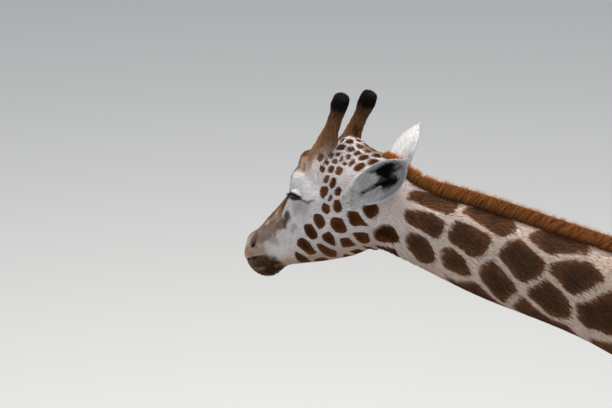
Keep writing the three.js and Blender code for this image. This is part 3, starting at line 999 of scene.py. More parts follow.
@dataclass
class Tube:
    """A tail or horn: round rings along a smooth path, each square to it."""

    middles: Array
    radii: Array
    rows: int
    columns: int

    def rings(self, grow: float = 0.0) -> tuple[Array, Array, Array]:
        """The rings' points, their middles and how far along the path each is, from 0 to 1.

        Args:
            grow: what is added to the radii.

        Returns:
            The points, the rings' middles, and the share of the path's length.
        """
        u = np.linspace(0, 1, self.rows)
        t = u * (len(self.middles) - 1)
        middle = through(self.middles, t)
        onward = unit(np.gradient(middle, axis=0))
        across = square(np.array([1.0, 0, 0]), onward)
        over = np.cross(onward, across)
        radius = through(self.radii[:, None], t) + grow
        angle = circle(self.columns)
        points = (middle[:, None] + across[:, None] * (np.cos(angle)[None, :, None] * radius[:, None])
                  + over[:, None] * (np.sin(angle)[None, :, None] * radius[:, None]))
        return points, middle, u


def on_middle(table: Array) -> Array:
    """A table's places, forward and height, as points on the animal's middle plane."""
    return np.stack([0 * table[:, 0], -table[:, 0], table[:, 1]], 1)


def tail_flesh() -> Flesh:
    """The tail's part of the flesh.

    Returns:
        The part.
    """
    points, middle, u = Tube(on_middle(TAIL), TAIL[:, 2], 64, 20).rings(-2.0)
    turn = wrapped(circle(20))
    return Flesh(
        Part.TAIL, points, (middle[0], middle[-1] - [0, 0, 1]), unit(np.gradient(points, axis=0)),
        u[:, None] * 900, np.abs(turn) * 25, u[:, None], turn,
    )


EARS = (
    Ear(Part.EAR_LEFT, (21, 87, -20), (-222, 8, 32), (0.04, 0.97, -0.25), 9),
    Ear(Part.EAR_RIGHT, (49, -89, 35), (-52, -185, 140), (-0.3, -0.65, -0.6), -4),
)
LEGS = (
    Leg(Part.FORE_LEFT, FORE_LEG, 1), Leg(Part.FORE_RIGHT, FORE_LEG, -1),
    Leg(Part.HIND_LEFT, HIND_LEG, 1), Leg(Part.HIND_RIGHT, HIND_LEG, -1),
)


@dataclass
class Surface:
    """The finished skin as arrays, in mm: what the coat is sown on."""

    verts: Array
    normals: Array
    table: Array
    triangles: Array
    corner_uv: Array
    marks: Optional[Marks] = None

    def part(self) -> Array:
        """Each vertex's part number."""
        return self.table[:, 0].astype(int)

    def tree(self) -> BVHTree:
        """Finds where the skin is near a point or across a line."""
        return BVHTree.FromPolygons(self.verts.tolist(), self.triangles.tolist())


class Skin:
    """One closed skin over the whole animal: the parts joined, and the creases between them eased."""

    EASED_RINGS = 9  # how many rings of neighbours round a join are eased
    EASED_SHARE = 0.55  # how far each vertex moves at the join itself
    EASED_TIMES = 28

    def __init__(self) -> None:
        """Builds the parts, joins them and reads the joined mesh back."""
        self.body = Body()
        parts = [*(shape.flesh() for shape in (self.body, *LEGS, *EARS)), tail_flesh()]
        self.origin_verts = np.concatenate([p.vertices() for p in parts])
        self.origin_table = np.concatenate([p.table() for p in parts])
        self.object = self.join([p.mesh() for p in parts])
        self.surface = self.read_back()

    @staticmethod
    def join(objects: list[Object]) -> Object:
        """The union of closed meshes, as one mesh.

        Args:
            objects: the closed meshes, the largest first.

        Returns:
            The joined object.
        """
        skin, others = objects[0], objects[1:]
        for other in others:
            union = skin.modifiers.new("union", "BOOLEAN")
            union.operation, union.solver, union.object = "UNION", "MANIFOLD", other
        graph = bpy.context.evaluated_depsgraph_get()
        mesh = bpy.data.meshes.new_from_object(skin.evaluated_get(graph))
        skin.modifiers.clear()
        skin.data = mesh
        for other in others:
            bpy.data.objects.remove(other)
        skin.name = mesh.name = "skin"
        return skin

    def read_back(self) -> Surface:
        """The joined mesh's arrays; each vertex takes the table row of the nearest original vertex.

        Returns:
            The skin as arrays.
        """
        mesh = self.object.data
        verts = read(mesh.vertices, "co", 3).astype(float)
        tree = nearest(self.origin_verts, np.arange(len(self.origin_verts)))
        found = [tree.find(p) for p in verts.tolist()]
        table = self.origin_table[[f[1] for f in found]]
        far = np.array([f[2] for f in found])
        verts = self.ease(verts, table, read(mesh.edges, "vertices", 2, np.int32), far > 0.02)
        mesh.vertices.foreach_set("co", verts.astype(np.float32).ravel())
        mesh.update()
        normals = read(mesh.vertices, "normal", 3).astype(float)
        mesh.calc_loop_triangles()
        triangles = read(mesh.loop_triangles, "vertices", 3, np.int32)
        uv = read(mesh.uv_layers["OFBake"].data, "uv", 2)[read(mesh.loop_triangles, "loops", 3, np.int32)]
        LOG.info("skin: %d vertices, %d triangles", len(verts), len(triangles))
        return Surface(verts, normals, table, triangles, uv)

    @staticmethod
    def ease(verts: Array, table: Array, edges: Array, new: Array) -> Array:
        """Rounds the creases: vertices near a join move towards their neighbours' mean, again and again.

        The share that each moves falls off over the rings of neighbours round the join. Flow and the noise
        places in the table are eased with them.

        Args:
            verts: the vertices.
            table: their rows, changed in place.
            edges: pairs of vertices.
            new: which vertices the joining made.

        Returns:
            The moved vertices.
        """
        count = len(verts)
        part = table[:, 0]
        a, b = edges.T
        reach = np.zeros(count)
        crossing = part[a] != part[b]
        reach[a[crossing]] = reach[b[crossing]] = 1
        reach[new] = 1
        thin = part >= Part.EAR_LEFT  # the ears and the tail
        for _ in range(Skin.EASED_RINGS):
            spread = np.zeros(count)
            np.maximum.at(spread, a, reach[b])
            np.maximum.at(spread, b, reach[a])
            reach = np.maximum(reach, spread - 0.99 / Skin.EASED_RINGS)
        head = (part == Part.BODY) & (table[:, 1] > 12.5)
        share = np.clip(reach, 0, 1) * Skin.EASED_SHARE * np.where(thin, 0.6, 1.0) * np.where(head, 0.6, 1.0)
        degree = np.bincount(edges.ravel(), minlength=count)[:, None]
        values = np.concatenate([verts, table[:, 3:]], 1)
        for _ in range(Skin.EASED_TIMES):
            total = np.zeros_like(values)
            for col in range(values.shape[1]):
                total[:, col] = np.bincount(a, values[b, col], count) + np.bincount(b, values[a, col], count)
            values += (total / degree - values) * share[:, None]
        table[:, 3:] = values[:, 3:]
        table[:, 5:8] = unit(table[:, 5:8])
        return values[:, :3]


# ------------------------------------------------------------------ the coat's markings
@dataclass(frozen=True)
class Row:
    """A row of patches along the neck: each lies a pace behind the last, and the paces grow."""

    turn: float  # how far down the side from the crest, in degrees
    first: float  # from the nape to the first patch's middle
    pace: float  # from the first patch to the second
    wide: float  # half of the first patch's width
    lean: float  # its long axis turns from noseward towards the belly by this, in degrees


NECK_ROWS = (
    Row(34, 140, 190, 37, 2), Row(70, 150, 150, 44, -4),
    Row(112, 150, 130, 44, -50), Row(150, 330, 240, 48, -15),
)
ROWS_END = 735.0  # where the rows give way to the scattered patches
ROW_GROWTH = 1.1
ROUNDED = 2.6  # how square the patches are: 2 is an oval
SMALL_GAP = 8.0  # patches with a smaller gap than this are small spots
LEG_MARKS_END = 1010.0  # the height where the legs' patches end
NECK_TOP = -220.0  # from the nape to where the scattered patches start
HEAD_MARKS_FROM = -40.0
CROWN_TRIES = 160
EAR_FOOT = ((50.0, 95.0, 25.0), (0.0, 95.0, 5.0))
PLAIN_FACE = (Ridge((420, 60, 0), (610, 20, -60), 44, 1), Ridge((250, 30, 100), (420, 30, 40), 30, 1))


def leaning(ahead: Array, down: Array, lean: float) -> tuple[Array, Array]:
    """A patch's long and wide ways: ahead and down turned by an angle in radians within their own plane.

    Args:
        ahead: the hair's way.
        down: the way square to it.
        lean: the angle.

    Returns:
        The long and the wide way.
    """
    return ahead * np.cos(lean) + down * np.sin(lean), down * np.cos(lean) - ahead * np.sin(lean)


@dataclass
class Spots:
    """All the patches as arrays: their middles in mm, frames, half sizes and tones."""

    middle: Array
    long_way: Array
    wide_way: Array
    size: Array
    tone: Array
    gap: Array

    def edges(self, points: Array) -> tuple[Array, Array]:
        """How far inside the nearest patch each point is, in mm, and how dark that patch is.

        Each patch is a rounded box |x / long|^2.6 + |y / wide|^2.6 = 1. Where two come close, the border
        lies half a gap on each patch's own side of the line where both are equally deep. The smallest spots
        count the distance off their own plane only in part, so that they show on the swellings they cross.

        Args:
            points: x, y and z in mm.

        Returns:
            A depth and a tone a point.
        """
        count = len(points)
        best, second = np.full(count, -400.0), np.full(count, -400.0)
        tone, gap = np.ones(count), np.full(count, 20.0)
        for k in range(len(self.middle)):
            offset = points - self.middle[k]
            reach = np.linalg.norm(offset, axis=1)
            near = np.flatnonzero(reach < 3.2 * self.size[k].max())
            if not len(near):
                continue
            offset, r = offset[near], np.maximum(reach[near], 1e-6)
            x, y = offset @ self.long_way[k], offset @ self.wide_way[k]
            flat = np.maximum(np.hypot(x, y), 1e-6)
            if self.gap[k] < SMALL_GAP:
                r = np.sqrt(flat**2 + 0.1 * np.maximum(r**2 - flat**2, 0))
            x, y = x * r / flat, y * r / flat
            a, b = self.size[k]
            q = (np.abs(x / a) ** ROUNDED + np.abs(y / b) ** ROUNDED) ** (1 / ROUNDED)
            deep = np.where(q > 1, (1 - q) * r / np.maximum(q, 1e-6), (1 - q) * min(a, b))
            over = deep > best[near]
            second[near] = np.where(over, best[near], np.maximum(second[near], deep))
            best[near] = np.where(over, deep, best[near])
            tone[near] = np.where(over, self.tone[k], tone[near])
            gap[near] = np.where(over, self.gap[k], gap[near])
        return np.minimum(best, 0.5 * (best - second) - gap / 2), tone


@dataclass
class Markings:
    """Lays out the patches over the whole animal and works out the coat's colours."""

    skin: Skin
    spots: Spots = field(init=False)

    def __post_init__(self) -> None:
        """Lays out the patches."""
        rng = np.random.default_rng(SEED)
        rows = [*self.neck_rows(rng), *self.crown(rng)]
        rows += self.scattered(rows, rng)
        columns = [np.array(c, float) for c in zip(*rows)]
        self.spots = Spots(*columns)

    def surface_frame(self, arc: float, turn: float) -> tuple[Array, Array, Array]:
        """The skin's point at an arc and a turn, and the ways noseward and towards the belly there.

        Args:
            arc: mm from the nape.
            turn: degrees from the crest, left positive.

        Returns:
            A point and two unit ways.
        """
        body = self.skin.body
        t = body.station(np.array([arc - 3, arc, arc + 3]))
        angle = np.radians([turn - 1.5, turn, turn + 1.5])
        p = body.rings(t, angle, -SKIN_DEPTH)
        nose = unit(p[2, 1] - p[0, 1])
        belly = square(p[1, 2] - p[1, 0], nose)
        return p[1, 1], nose, belly if turn >= 0 else -belly

    def neck_rows(self, rng: Random) -> list[tuple]:
        """The rows on both sides of the neck, each patch shaken a little; the right side's start later.

        Args:
            rng: the random draws.

        Returns:
            Middle, two ways, half sizes, tone and gap of each patch.
        """
        rows = []
        for row in NECK_ROWS:
            for side in (1, -1):
                arc, pace = -row.first - (0 if side > 0 else 0.4 * row.pace), row.pace
                while arc > -ROWS_END:
                    shake = rng.uniform(-1, 1, 5)
                    turn = side * (row.turn + 4 * shake[1])
                    middle, nose, belly = self.surface_frame(arc + 12 * shake[0], turn)
                    ways = leaning(nose, belly, np.radians(row.lean + 12 * shake[2]))
                    grown = pace / row.pace
                    size = (0.44 * pace * (1 + 0.1 * shake[3]), row.wide * grown * (1 + 0.1 * shake[4]))
                    rows.append((middle, *ways, size, 0.82, 14))
                    arc, pace = arc - pace, pace * ROW_GROWTH
        return rows

    def crown(self, rng: Random) -> list[tuple]:
        """Tiny spots up both horns' feet: rings of them round each horn's path, smaller towards the top.

        Args:
            rng: the random draws.

        Returns:
            The spots, as neck_rows gives its patches.
        """
        rows = []
        for side in (1, -1):
            for _ in range(CROWN_TRIES):
                t = rng.uniform(1.7, 3.3)
                angle = rng.uniform(-np.pi, np.pi)
                axis = through(OSSICONE, np.array([t]))[0]
                if np.cos(angle) > 0.2:  # the horn's front is plain
                    continue
                out = np.array([-0.75 * abs(np.cos(angle)), np.sin(angle), 0.1])
                middle = on_head(axis[:3] * [1, side, 1] + out * axis[3])
                up = unit(np.array([-0.6, 0.1 * side, 0.75]) @ HEAD_AXES)
                outward = unit(out @ HEAD_AXES)
                up = square(up, outward)
                size = rng.uniform(0.6, 1) * (7.4 - 1.2 * t)
                if all(np.linalg.norm(middle - r[0]) > 1.3 * size + 5 for r in rows):
                    rows.append((middle, up, np.cross(up, outward), (size * 1.5, size * 0.75), 0.8, 3))
        return rows

    def scattered(self, known: list[tuple], rng: Random) -> list[tuple]:
        """Patches over the rest of the neck, the trunk and the upper legs.

        Skin vertices are taken in a random order, and one is kept when it is far enough from all the
        patches kept before it. The borders then fall halfway between neighbours.

        Args:
            known: the patches that are laid already.
            rng: the random draws.

        Returns:
            The new patches, in the same form.
        """
        surface = self.skin.surface
        part, row, turn = surface.part(), surface.table[:, 1], np.abs(surface.table[:, 2])
        arc = self.skin.body.arc(row)
        height = surface.verts[:, 2]
        body = part == Part.BODY
        spacing = np.interp(
            arc, [-3300, -3000, -2500, -1900, -1500, -1100, -220], [130, 158, 196, 200, 176, 150, 120],
        )
        spacing = np.where(body, spacing * (1 - 0.3 * smooth(2.3, 3.0, turn)), 0)
        leg = is_leg(part)
        spacing = np.where(leg, np.interp(height, [1000, 1400, 1900], [66, 104, 158]), spacing)
        wanted = (body & (arc < NECK_TOP)) | (leg & (height > LEG_MARKS_END))
        wanted &= ~((arc > -800) & body & (turn < 0.25))  # the mane's foot
        head, head_spacing = self.head_spots(surface.verts, turn)
        head &= body & (arc > HEAD_MARKS_FROM)
        wanted |= head
        spacing = np.where(head, head_spacing, spacing)
        head = head[wanted]
        points, flow, normal = surface.verts[wanted], surface.table[wanted, 5:8], surface.normals[wanted]
        spacing, order = spacing[wanted], rng.permutation(int(wanted.sum()))
        points, flow, normal, spacing, head = (a[order] for a in (points, flow, normal, spacing, head))
        free = np.ones(len(points), bool)
        for middle, _, _, size, _, _ in known:
            free &= np.linalg.norm(points - middle, axis=1) > 0.42 * spacing + 0.85 * size[0]
        rows = []
        while free.any():
            k = int(np.argmax(free))
            space = spacing[k]
            gap = space * (0.26 if head[k] else 0.17)
            free &= np.linalg.norm(points - points[k], axis=1) > 0.5 * (space + spacing) * 0.86
            along = square(flow[k], normal[k])
            lean = rng.uniform(-0.6, 0.6) + (1.3 if head[k] else 0)
            ways = leaning(along, np.cross(normal[k], along), lean)
            size = space * np.array([rng.uniform(0.6, 0.74), rng.uniform(0.5, 0.62)])
            size = size * (rng.uniform(0.78, 1.04) if head[k] else 1)
            tone = rng.choice([0.9, 0.84, 0.76]) + (0.16 if head[k] and space > 30 else 0)
            rows.append((points[k], *ways, size, tone, gap))
        return rows

    @staticmethod
    def head_spots(points: Array, turn: Array) -> tuple[Array, Array]:
        """Where the head is spotted, and how far apart: wide on the cheek, close at the temple and crown.

        The spots reach ahead as far as the jaw does low down, and only to the back of the eye higher up. The
        ear's foot and the horns' fronts are plain.

        Args:
            points: x, y and z in mm.
            turn: radians from the crest.

        Returns:
            Whether each point is in the spotted region, and the spacing there in mm.
        """
        place = to_head(points)
        ahead, up = place[:, 0], place[:, 2]
        reach = np.interp(up, [-200, -110, -75, -40, 0, 110], [380, 380, 300, 175, 140, 138])
        spotted = (ahead > np.where(turn < 1.0, -30, 5)) & (ahead < reach)
        spotted &= from_line(both_sides(place), *EAR_FOOT) > 46
        spotted &= relief((Ridge((196, 0, 160), (170, 0, 190), 26, 1),), place) < 0.6
        low = np.interp(up, [-180, -110, -60, -10, 60], [62, 66, 50, 33, 29])
        return spotted, np.where(turn < 1.0, np.interp(ahead, [0, 60, 150], [32, 26, 21]), low)

    def marks(self, points: Array, table: Array) -> Marks:
        """All that the coat's material needs at points whose table rows are given.

        Args:
            points: x, y and z in mm.
            table: their rows of the flesh's table.

        Returns:
            The marks.
        """
        edge, tone = self.spots.edges(points)
        part = table[:, 0].astype(int)
        arc = self.skin.body.arc(table[:, 1])
        body = part == Part.BODY
        leg = is_leg(part)
        ear = is_ear(part)
        edge = np.where(leg, edge - 30 * smooth(1120, 1000, points[:, 2]), edge)
        edge = np.where(ear, edge - 60, edge)
        edge = np.where(part == Part.TAIL, -30 + 0 * edge, edge)
        edge -= 12 * smooth(0.3, 0.7, relief(PLAIN_FACE, to_head(points)))
        edge += speckle(points, 26, 3) * np.where(body & (arc > 0), 0.6, 3.0)
        small = smooth(90, 120, to_head(points)[:, 2]) * smooth(200, 170, to_head(points)[:, 0])
        fuzz = np.where(body & (arc > -20), 1.8 - 1.0 * small, np.interp(arc, [-900, -200], [6.5, 4.5]))
        fuzz = np.where(leg, 4.5, np.where(ear, 2.0, fuzz))
        lie = np.stack([table[:, 3], table[:, 4], part * 37.0], 1) * MM
        return Marks(edge * MM, tone, fuzz * MM, Paint(self).ground(points, table), lie)


@dataclass(frozen=True)
class Dab:
    """A colour laid along a line on the head, on both sides: full on the line, fading over its spread."""

    start: Triple
    end: Triple
    spread: float
    colour: Triple
    strength: float = 1.0
    wobble: float = 0.25


WHITE = (0.78, 0.77, 0.76)
LIP_CREASE_SHADE = (0.022, 0.011, 0.006)
BROWN = (0.13, 0.058, 0.024)
TAN = (0.36, 0.20, 0.10)
BEIGE = (0.21, 0.105, 0.055)
HEAD_DABS = (
    Dab((330, 0, 100), (560, 0, 30), 46, BEIGE, 0.97, 0.1),  # top of the nose
    Dab((320, 56, 74), (440, 34, 34), 14, (0.15, 0.07, 0.032), 0.85),
    Dab((440, 34, 34), (500, 30, 22), 15, (0.17, 0.095, 0.06), 0.85),
    Dab((262, 40, 128), (292, 62, 84), 16, (0.30, 0.17, 0.09), 0.6),
    Dab((300, 82, 62), (352, 62, 46), 14, BROWN, 1.0),  # the band from the eye along the nose
    Dab((352, 62, 46), (384, 56, 24), 14, BROWN, 0.95),
    Dab((384, 58, 26), (440, 50, 4), 12, TAN, 0.7),
    Dab((330, 84, 2), (400, 66, -14), 16, (0.165, 0.105, 0.076), 0.88, 0.35),
    Dab((338, 78, 4), (372, 70, -20), 12, (0.09, 0.062, 0.05), 0.85, 0.45),
    Dab((318, 86, -40), (340, 84, -50), 12, (0.28, 0.26, 0.26), 0.6),
    Dab((420, 58, -6), (505, 50, -20), 25, (0.18, 0.112, 0.08), 0.88, 0.35),
    # painted shade: a purple-grey band along the fold behind the nostril
    Dab((460, 58, -30), (430, 62, -62), 15, (0.22, 0.17, 0.16), 0.6),
    Dab((415, 58, -84), (470, 54, -84), 24, (0.62, 0.61, 0.61), 0.75),  # white behind the mouth
    Dab((512, 40, 4), (534, 48, -38), 15, (0.15, 0.12, 0.115), 0.85, 0.15),  # grey round the nostril
    Dab((556, 36, 6), (480, 44, 16), 15, (0.22, 0.13, 0.085), 0.8),
    Dab((566, 18, 10), (590, 18, -22), 15, (0.25, 0.145, 0.09), 0.75),
    Dab((594, 14, -30), (556, 44, -54), 17, (0.38, 0.19, 0.095), 0.9),  # upper lip
    Dab((594, 0, -46), (590, 22, -58), 16, (0.34, 0.17, 0.085), 0.85),
    Dab((540, 54, -60), (505, 54, -66), 12, (0.30, 0.18, 0.11), 0.7),
    Dab((580, 10, -104), (496, 20, -118), 35, (0.115, 0.052, 0.020), 0.97, 0.12),  # chin
    Dab((580, 10, -104), (496, 20, -118), 25, (0.028, 0.013, 0.006), 0.9, 0.6),
    Dab((560, 40, -90), (508, 44, -98), 17, (0.055, 0.025, 0.011), 0.92, 0.16),
    Dab((584, 26, -86), (566, 44, -90), 8, (0.24, 0.115, 0.05), 0.6, 0.3),
    Dab((486, 30, -130), (470, 26, -134), 11, (0.26, 0.13, 0.06), 0.6),
    Dab((590, 22, -68), (571, 51, -74), 4.5, LIP_CREASE_SHADE, 0.95),  # mouth line: painted shade in the crease between the lips
    Dab((571, 51, -74), (506, 51, -80), 4.5, LIP_CREASE_SHADE, 0.9),
    Dab((519, 37, 4), (519, 44, -9), 6.0, (0.05, 0.037, 0.033), 0.9, 0.1),  # nostril: painted shade in its slit, darkest where the slit is deepest
    Dab((519, 48, -20), (523, 48, -22), 5.0, (0.11, 0.08, 0.07), 0.8, 0.1),
    Dab((528, 49, -28), (537, 46, -38), 8.5, (0.007, 0.006, 0.005), 1.0, 0.1),
    Dab((205, 115, 62), (262, 108, 78), 22, WHITE, 0.85),  # above the eye
    Dab((180, 114, 40), (210, 116, 40), 20, WHITE, 0.6),
    Dab((250, 86, 92), (286, 70, 84), 16, WHITE, 0.7),
    Dab((286, 92, 62), (306, 84, 62), 9, (0.05, 0.03, 0.02), 0.9),  # the eye's front corner
    Dab((286, 98, 62), (240, 116, 30), 8, (0.05, 0.035, 0.03), 0.9),
    Dab((240, 116, 26), (206, 120, 8), 4.0, (0.05, 0.04, 0.036), 0.9),
    Dab((206, 121, 6), (178, 120, 10), 2.6, (0.05, 0.04, 0.04), 0.9),
    Dab((280, 100, 14), (230, 118, -4), 20, (0.42, 0.41, 0.41), 0.6),
    Dab((556, 30, -4), (540, 34, -20), 12, (0.24, 0.16, 0.12), 0.6),
    Dab((300, 0, 130), (276, 6, 168), 32, (0.085, 0.036, 0.016), 0.95),  # the forehead's knob
    Dab((276, 6, 168), (240, 8, 190), 36, (0.11, 0.05, 0.022), 0.95),
    Dab((310, 0, 118), (322, 0, 104), 18, (0.26, 0.14, 0.075), 0.8),
    Dab((262, 16, 168), (240, 84, 128), 19, (0.085, 0.036, 0.016), 0.94, 0.15),
    Dab((266, 8, 172), (236, 34, 162), 16, (0.085, 0.036, 0.016), 0.95, 0.15),
    Dab((250, 88, 120), (250, 108, 102), 6, (0.11, 0.05, 0.022), 0.8, 0.15),
    Dab((236, 42, 150), (222, 56, 144), 12, (0.30, 0.165, 0.095), 0.95, 0.3),
    Dab((246, 40, 150), (244, 84, 124), 10, (0.36, 0.24, 0.17), 0.6, 0.3),
    Dab((212, 50, 150), (216, 88, 122), 16, (0.29, 0.18, 0.12), 0.85, 0.3),
    Dab((200, 84, 128), (206, 98, 108), 10, (0.36, 0.26, 0.20), 0.6, 0.3),  # from the horn to the brow
    Dab((186, 54, 158), (204, 72, 134), 14, (0.17, 0.09, 0.045), 0.9, 0.3),
    Dab((204, 72, 134), (204, 94, 112), 10, (0.23, 0.125, 0.07), 0.75, 0.3),
    Dab((168, 72, 136), (188, 94, 106), 8, (0.56, 0.50, 0.46), 0.7, 0.3),
    Dab((440, 26, -132), (240, 34, -170), 18, (0.34, 0.25, 0.17), 0.7, 0.3),  # along the jaw: a tan line, partly painted shade under the jaw
    Dab((590, 14, -84), (572, 30, -116), 9, (0.19, 0.095, 0.04), 0.6, 0.4),
    Dab((-8, 0, 100), (30, 0, 108), 20, (0.24, 0.09, 0.03), 0.7),
    Dab((-60, 52, 92), (-30, 40, 96), 12, (0.22, 0.08, 0.025), 0.55),
)


@dataclass
class Paint:
    """The pale hair's colour over the animal."""

    markings: Markings

    def ground(self, points: Array, table: Array) -> Array:
        """Blends the colours along the body, down its sides and on the legs and ears, then lays the dabs.

        Args:
            points: x, y and z in mm.
            table: their rows of the flesh's table.

        Returns:
            One colour a point.
        """
        part, row, turn = table[:, 0].astype(int), table[:, 1], np.abs(table[:, 2])
        arc = self.markings.skin.body.arc(row)
        top = graded(
            arc, [-3300, -2400, -1500, -800, -250, 0, 150, 400, 680],
            (0.60, 0.60, 0.60, 0.58, 0.62, 0.68, 0.66, 0.64, 0.46),
            (0.45, 0.45, 0.45, 0.45, 0.50, 0.60, 0.62, 0.61, 0.38),
            (0.33, 0.33, 0.34, 0.37, 0.43, 0.57, 0.62, 0.61, 0.31),
        )
        under = np.array([0.50, 0.38, 0.31]) * np.interp(arc, [-1500, 0, 400], [1.1, 0.9, 0.8])[:, None]
        low = smooth(1.9, 2.9, turn)[:, None]
        colour = blend(top, under, low)
        # painted backlight: the hair along the crest is warmed towards orange, as if lit from behind
        crest = (smooth(0.33, 0.12, turn) * (arc < 30))[:, None]
        colour = blend(colour, np.array([0.62, 0.40, 0.24]), 0.5 * crest)
        leg = is_leg(part)
        shin = smooth(1500, 1050, points[:, 2])[:, None]
        limb = blend(np.array([0.62, 0.48, 0.35]), np.array([0.70, 0.61, 0.50]), shin)
        colour[leg] = limb[leg]
        colour[part == Part.TAIL] = (0.55, 0.42, 0.30)
        head = np.flatnonzero((part == Part.BODY) & (arc > -160))
        colour[head] = self.dabbed(colour[head], to_head(points[head]))
        colour = self.ears(colour, part, row, table[:, 2], points)
        mottle = 1 + 0.05 * speckle(points, 55, 9) + 0.04 * speckle(points, 14, 5)
        return np.clip(colour * mottle[:, None], 0, 1)

    @staticmethod
    def dabbed(colour: Array, place: Array) -> Array:
        """Lays each dab in turn: its strength eases from full to none between 0.55 and 1.45 of its spread.

        Args:
            colour: the colours underneath.
            place: forward, left and up in the head's frame.

        Returns:
            The colours.
        """
        both = both_sides(place)
        wave = speckle(place, 13, 21) + 0.5 * speckle(place * [0.5, 1, 1.6], 5, 22)
        wave += 0.6 * speckle(place * [0.3, 1, 1.3], 5, 23)
        for dab in HEAD_DABS:
            far = from_line(both, dab.start, dab.end) / dab.spread + dab.wobble * wave
            share = (dab.strength * smooth(1.5, 0.6, far))[:, None]
            colour = blend(colour, np.array(dab.colour), share)
        return colour

    @staticmethod
    def ears(colour: Array, part: Array, u: Array, turn: Array, points: Array) -> Array:
        """White backs; insides grey, streaked black deep down, where the head's side shows through too. The
        black is partly dark hair and partly painted shade deep in the cup.

        Args:
            colour: the colours so far, changed in place.
            part: part numbers.
            u: 0 at an ear's root and 1 at its tip.
            turn: across the leaf, with 4 added inside.
            points: x, y and z in mm.

        Returns:
            The colours.
        """
        for ear in EARS:
            base, tipward, facing, across_way = ear.axes()
            offset = points - base
            along = offset @ tipward / ear.length
            sideways = offset @ across_way / (ear.width * 0.9)
            leaf = (ear.leaf(along.clip(0, 1), sideways.clip(-1, 1), np.ones(len(points))) - base) @ facing
            shown = (part == Part.BODY) & (along > 0.04) & (along < 0.8) & (np.abs(sideways) < 0.85)
            shown &= (offset @ facing > leaf - 3) & (offset @ facing < leaf + 60)
            mine = (part == ear.part) | shown
            inner = (turn[mine] > 2) | shown[mine]
            place = np.where(shown, along, u)[mine]
            across = np.where(shown[mine], sideways[mine], np.where(inner, turn[mine] - 4, turn[mine]))
            back = np.array([0.60, 0.60, 0.61]) * (1 - 0.12 * smooth(0.35, 0.0, place))[:, None]
            wave = 0.5 * speckle(points[mine], 16, 41)
            prong = 0.09 * np.sin(across * 26 + 1)
            # the upper and lower black streaks are partly dark hair and partly painted shade in the cup
            upper = smooth(0.36, 0.27, np.abs(across + 0.36 - 0.1 * wave))
            upper *= smooth(0.78, 0.7, place - 0.06 * wave + prong)
            taper = 0.09 * smooth(0.4, 0.12, place)
            lower = smooth(0.24, 0.15, np.abs(across - 0.07 - 0.3 * place - 0.08 * wave) + taper)
            lower *= smooth(0.62, 0.54, place - 0.1 * wave)
            deep = np.maximum(upper, lower).clip(0, 1)[:, None]
            inside = blend(np.array([0.47, 0.47, 0.49]), np.full(3, 0.004), deep)
            tuft = (smooth(0.32, 0.22, place + 0.08 * wave) * (1 - lower))[:, None]
            inside = blend(inside, np.array([0.72, 0.71, 0.70]), tuft)
            rim = (smooth(0.8, 1.0, np.abs(across)) + smooth(0.9, 1, place)).clip(0, 1)[:, None]
            inside = blend(inside, np.array([0.70, 0.70, 0.71]), rim)
            colour[mine] = np.where(inner[:, None], inside, back)
        return colour


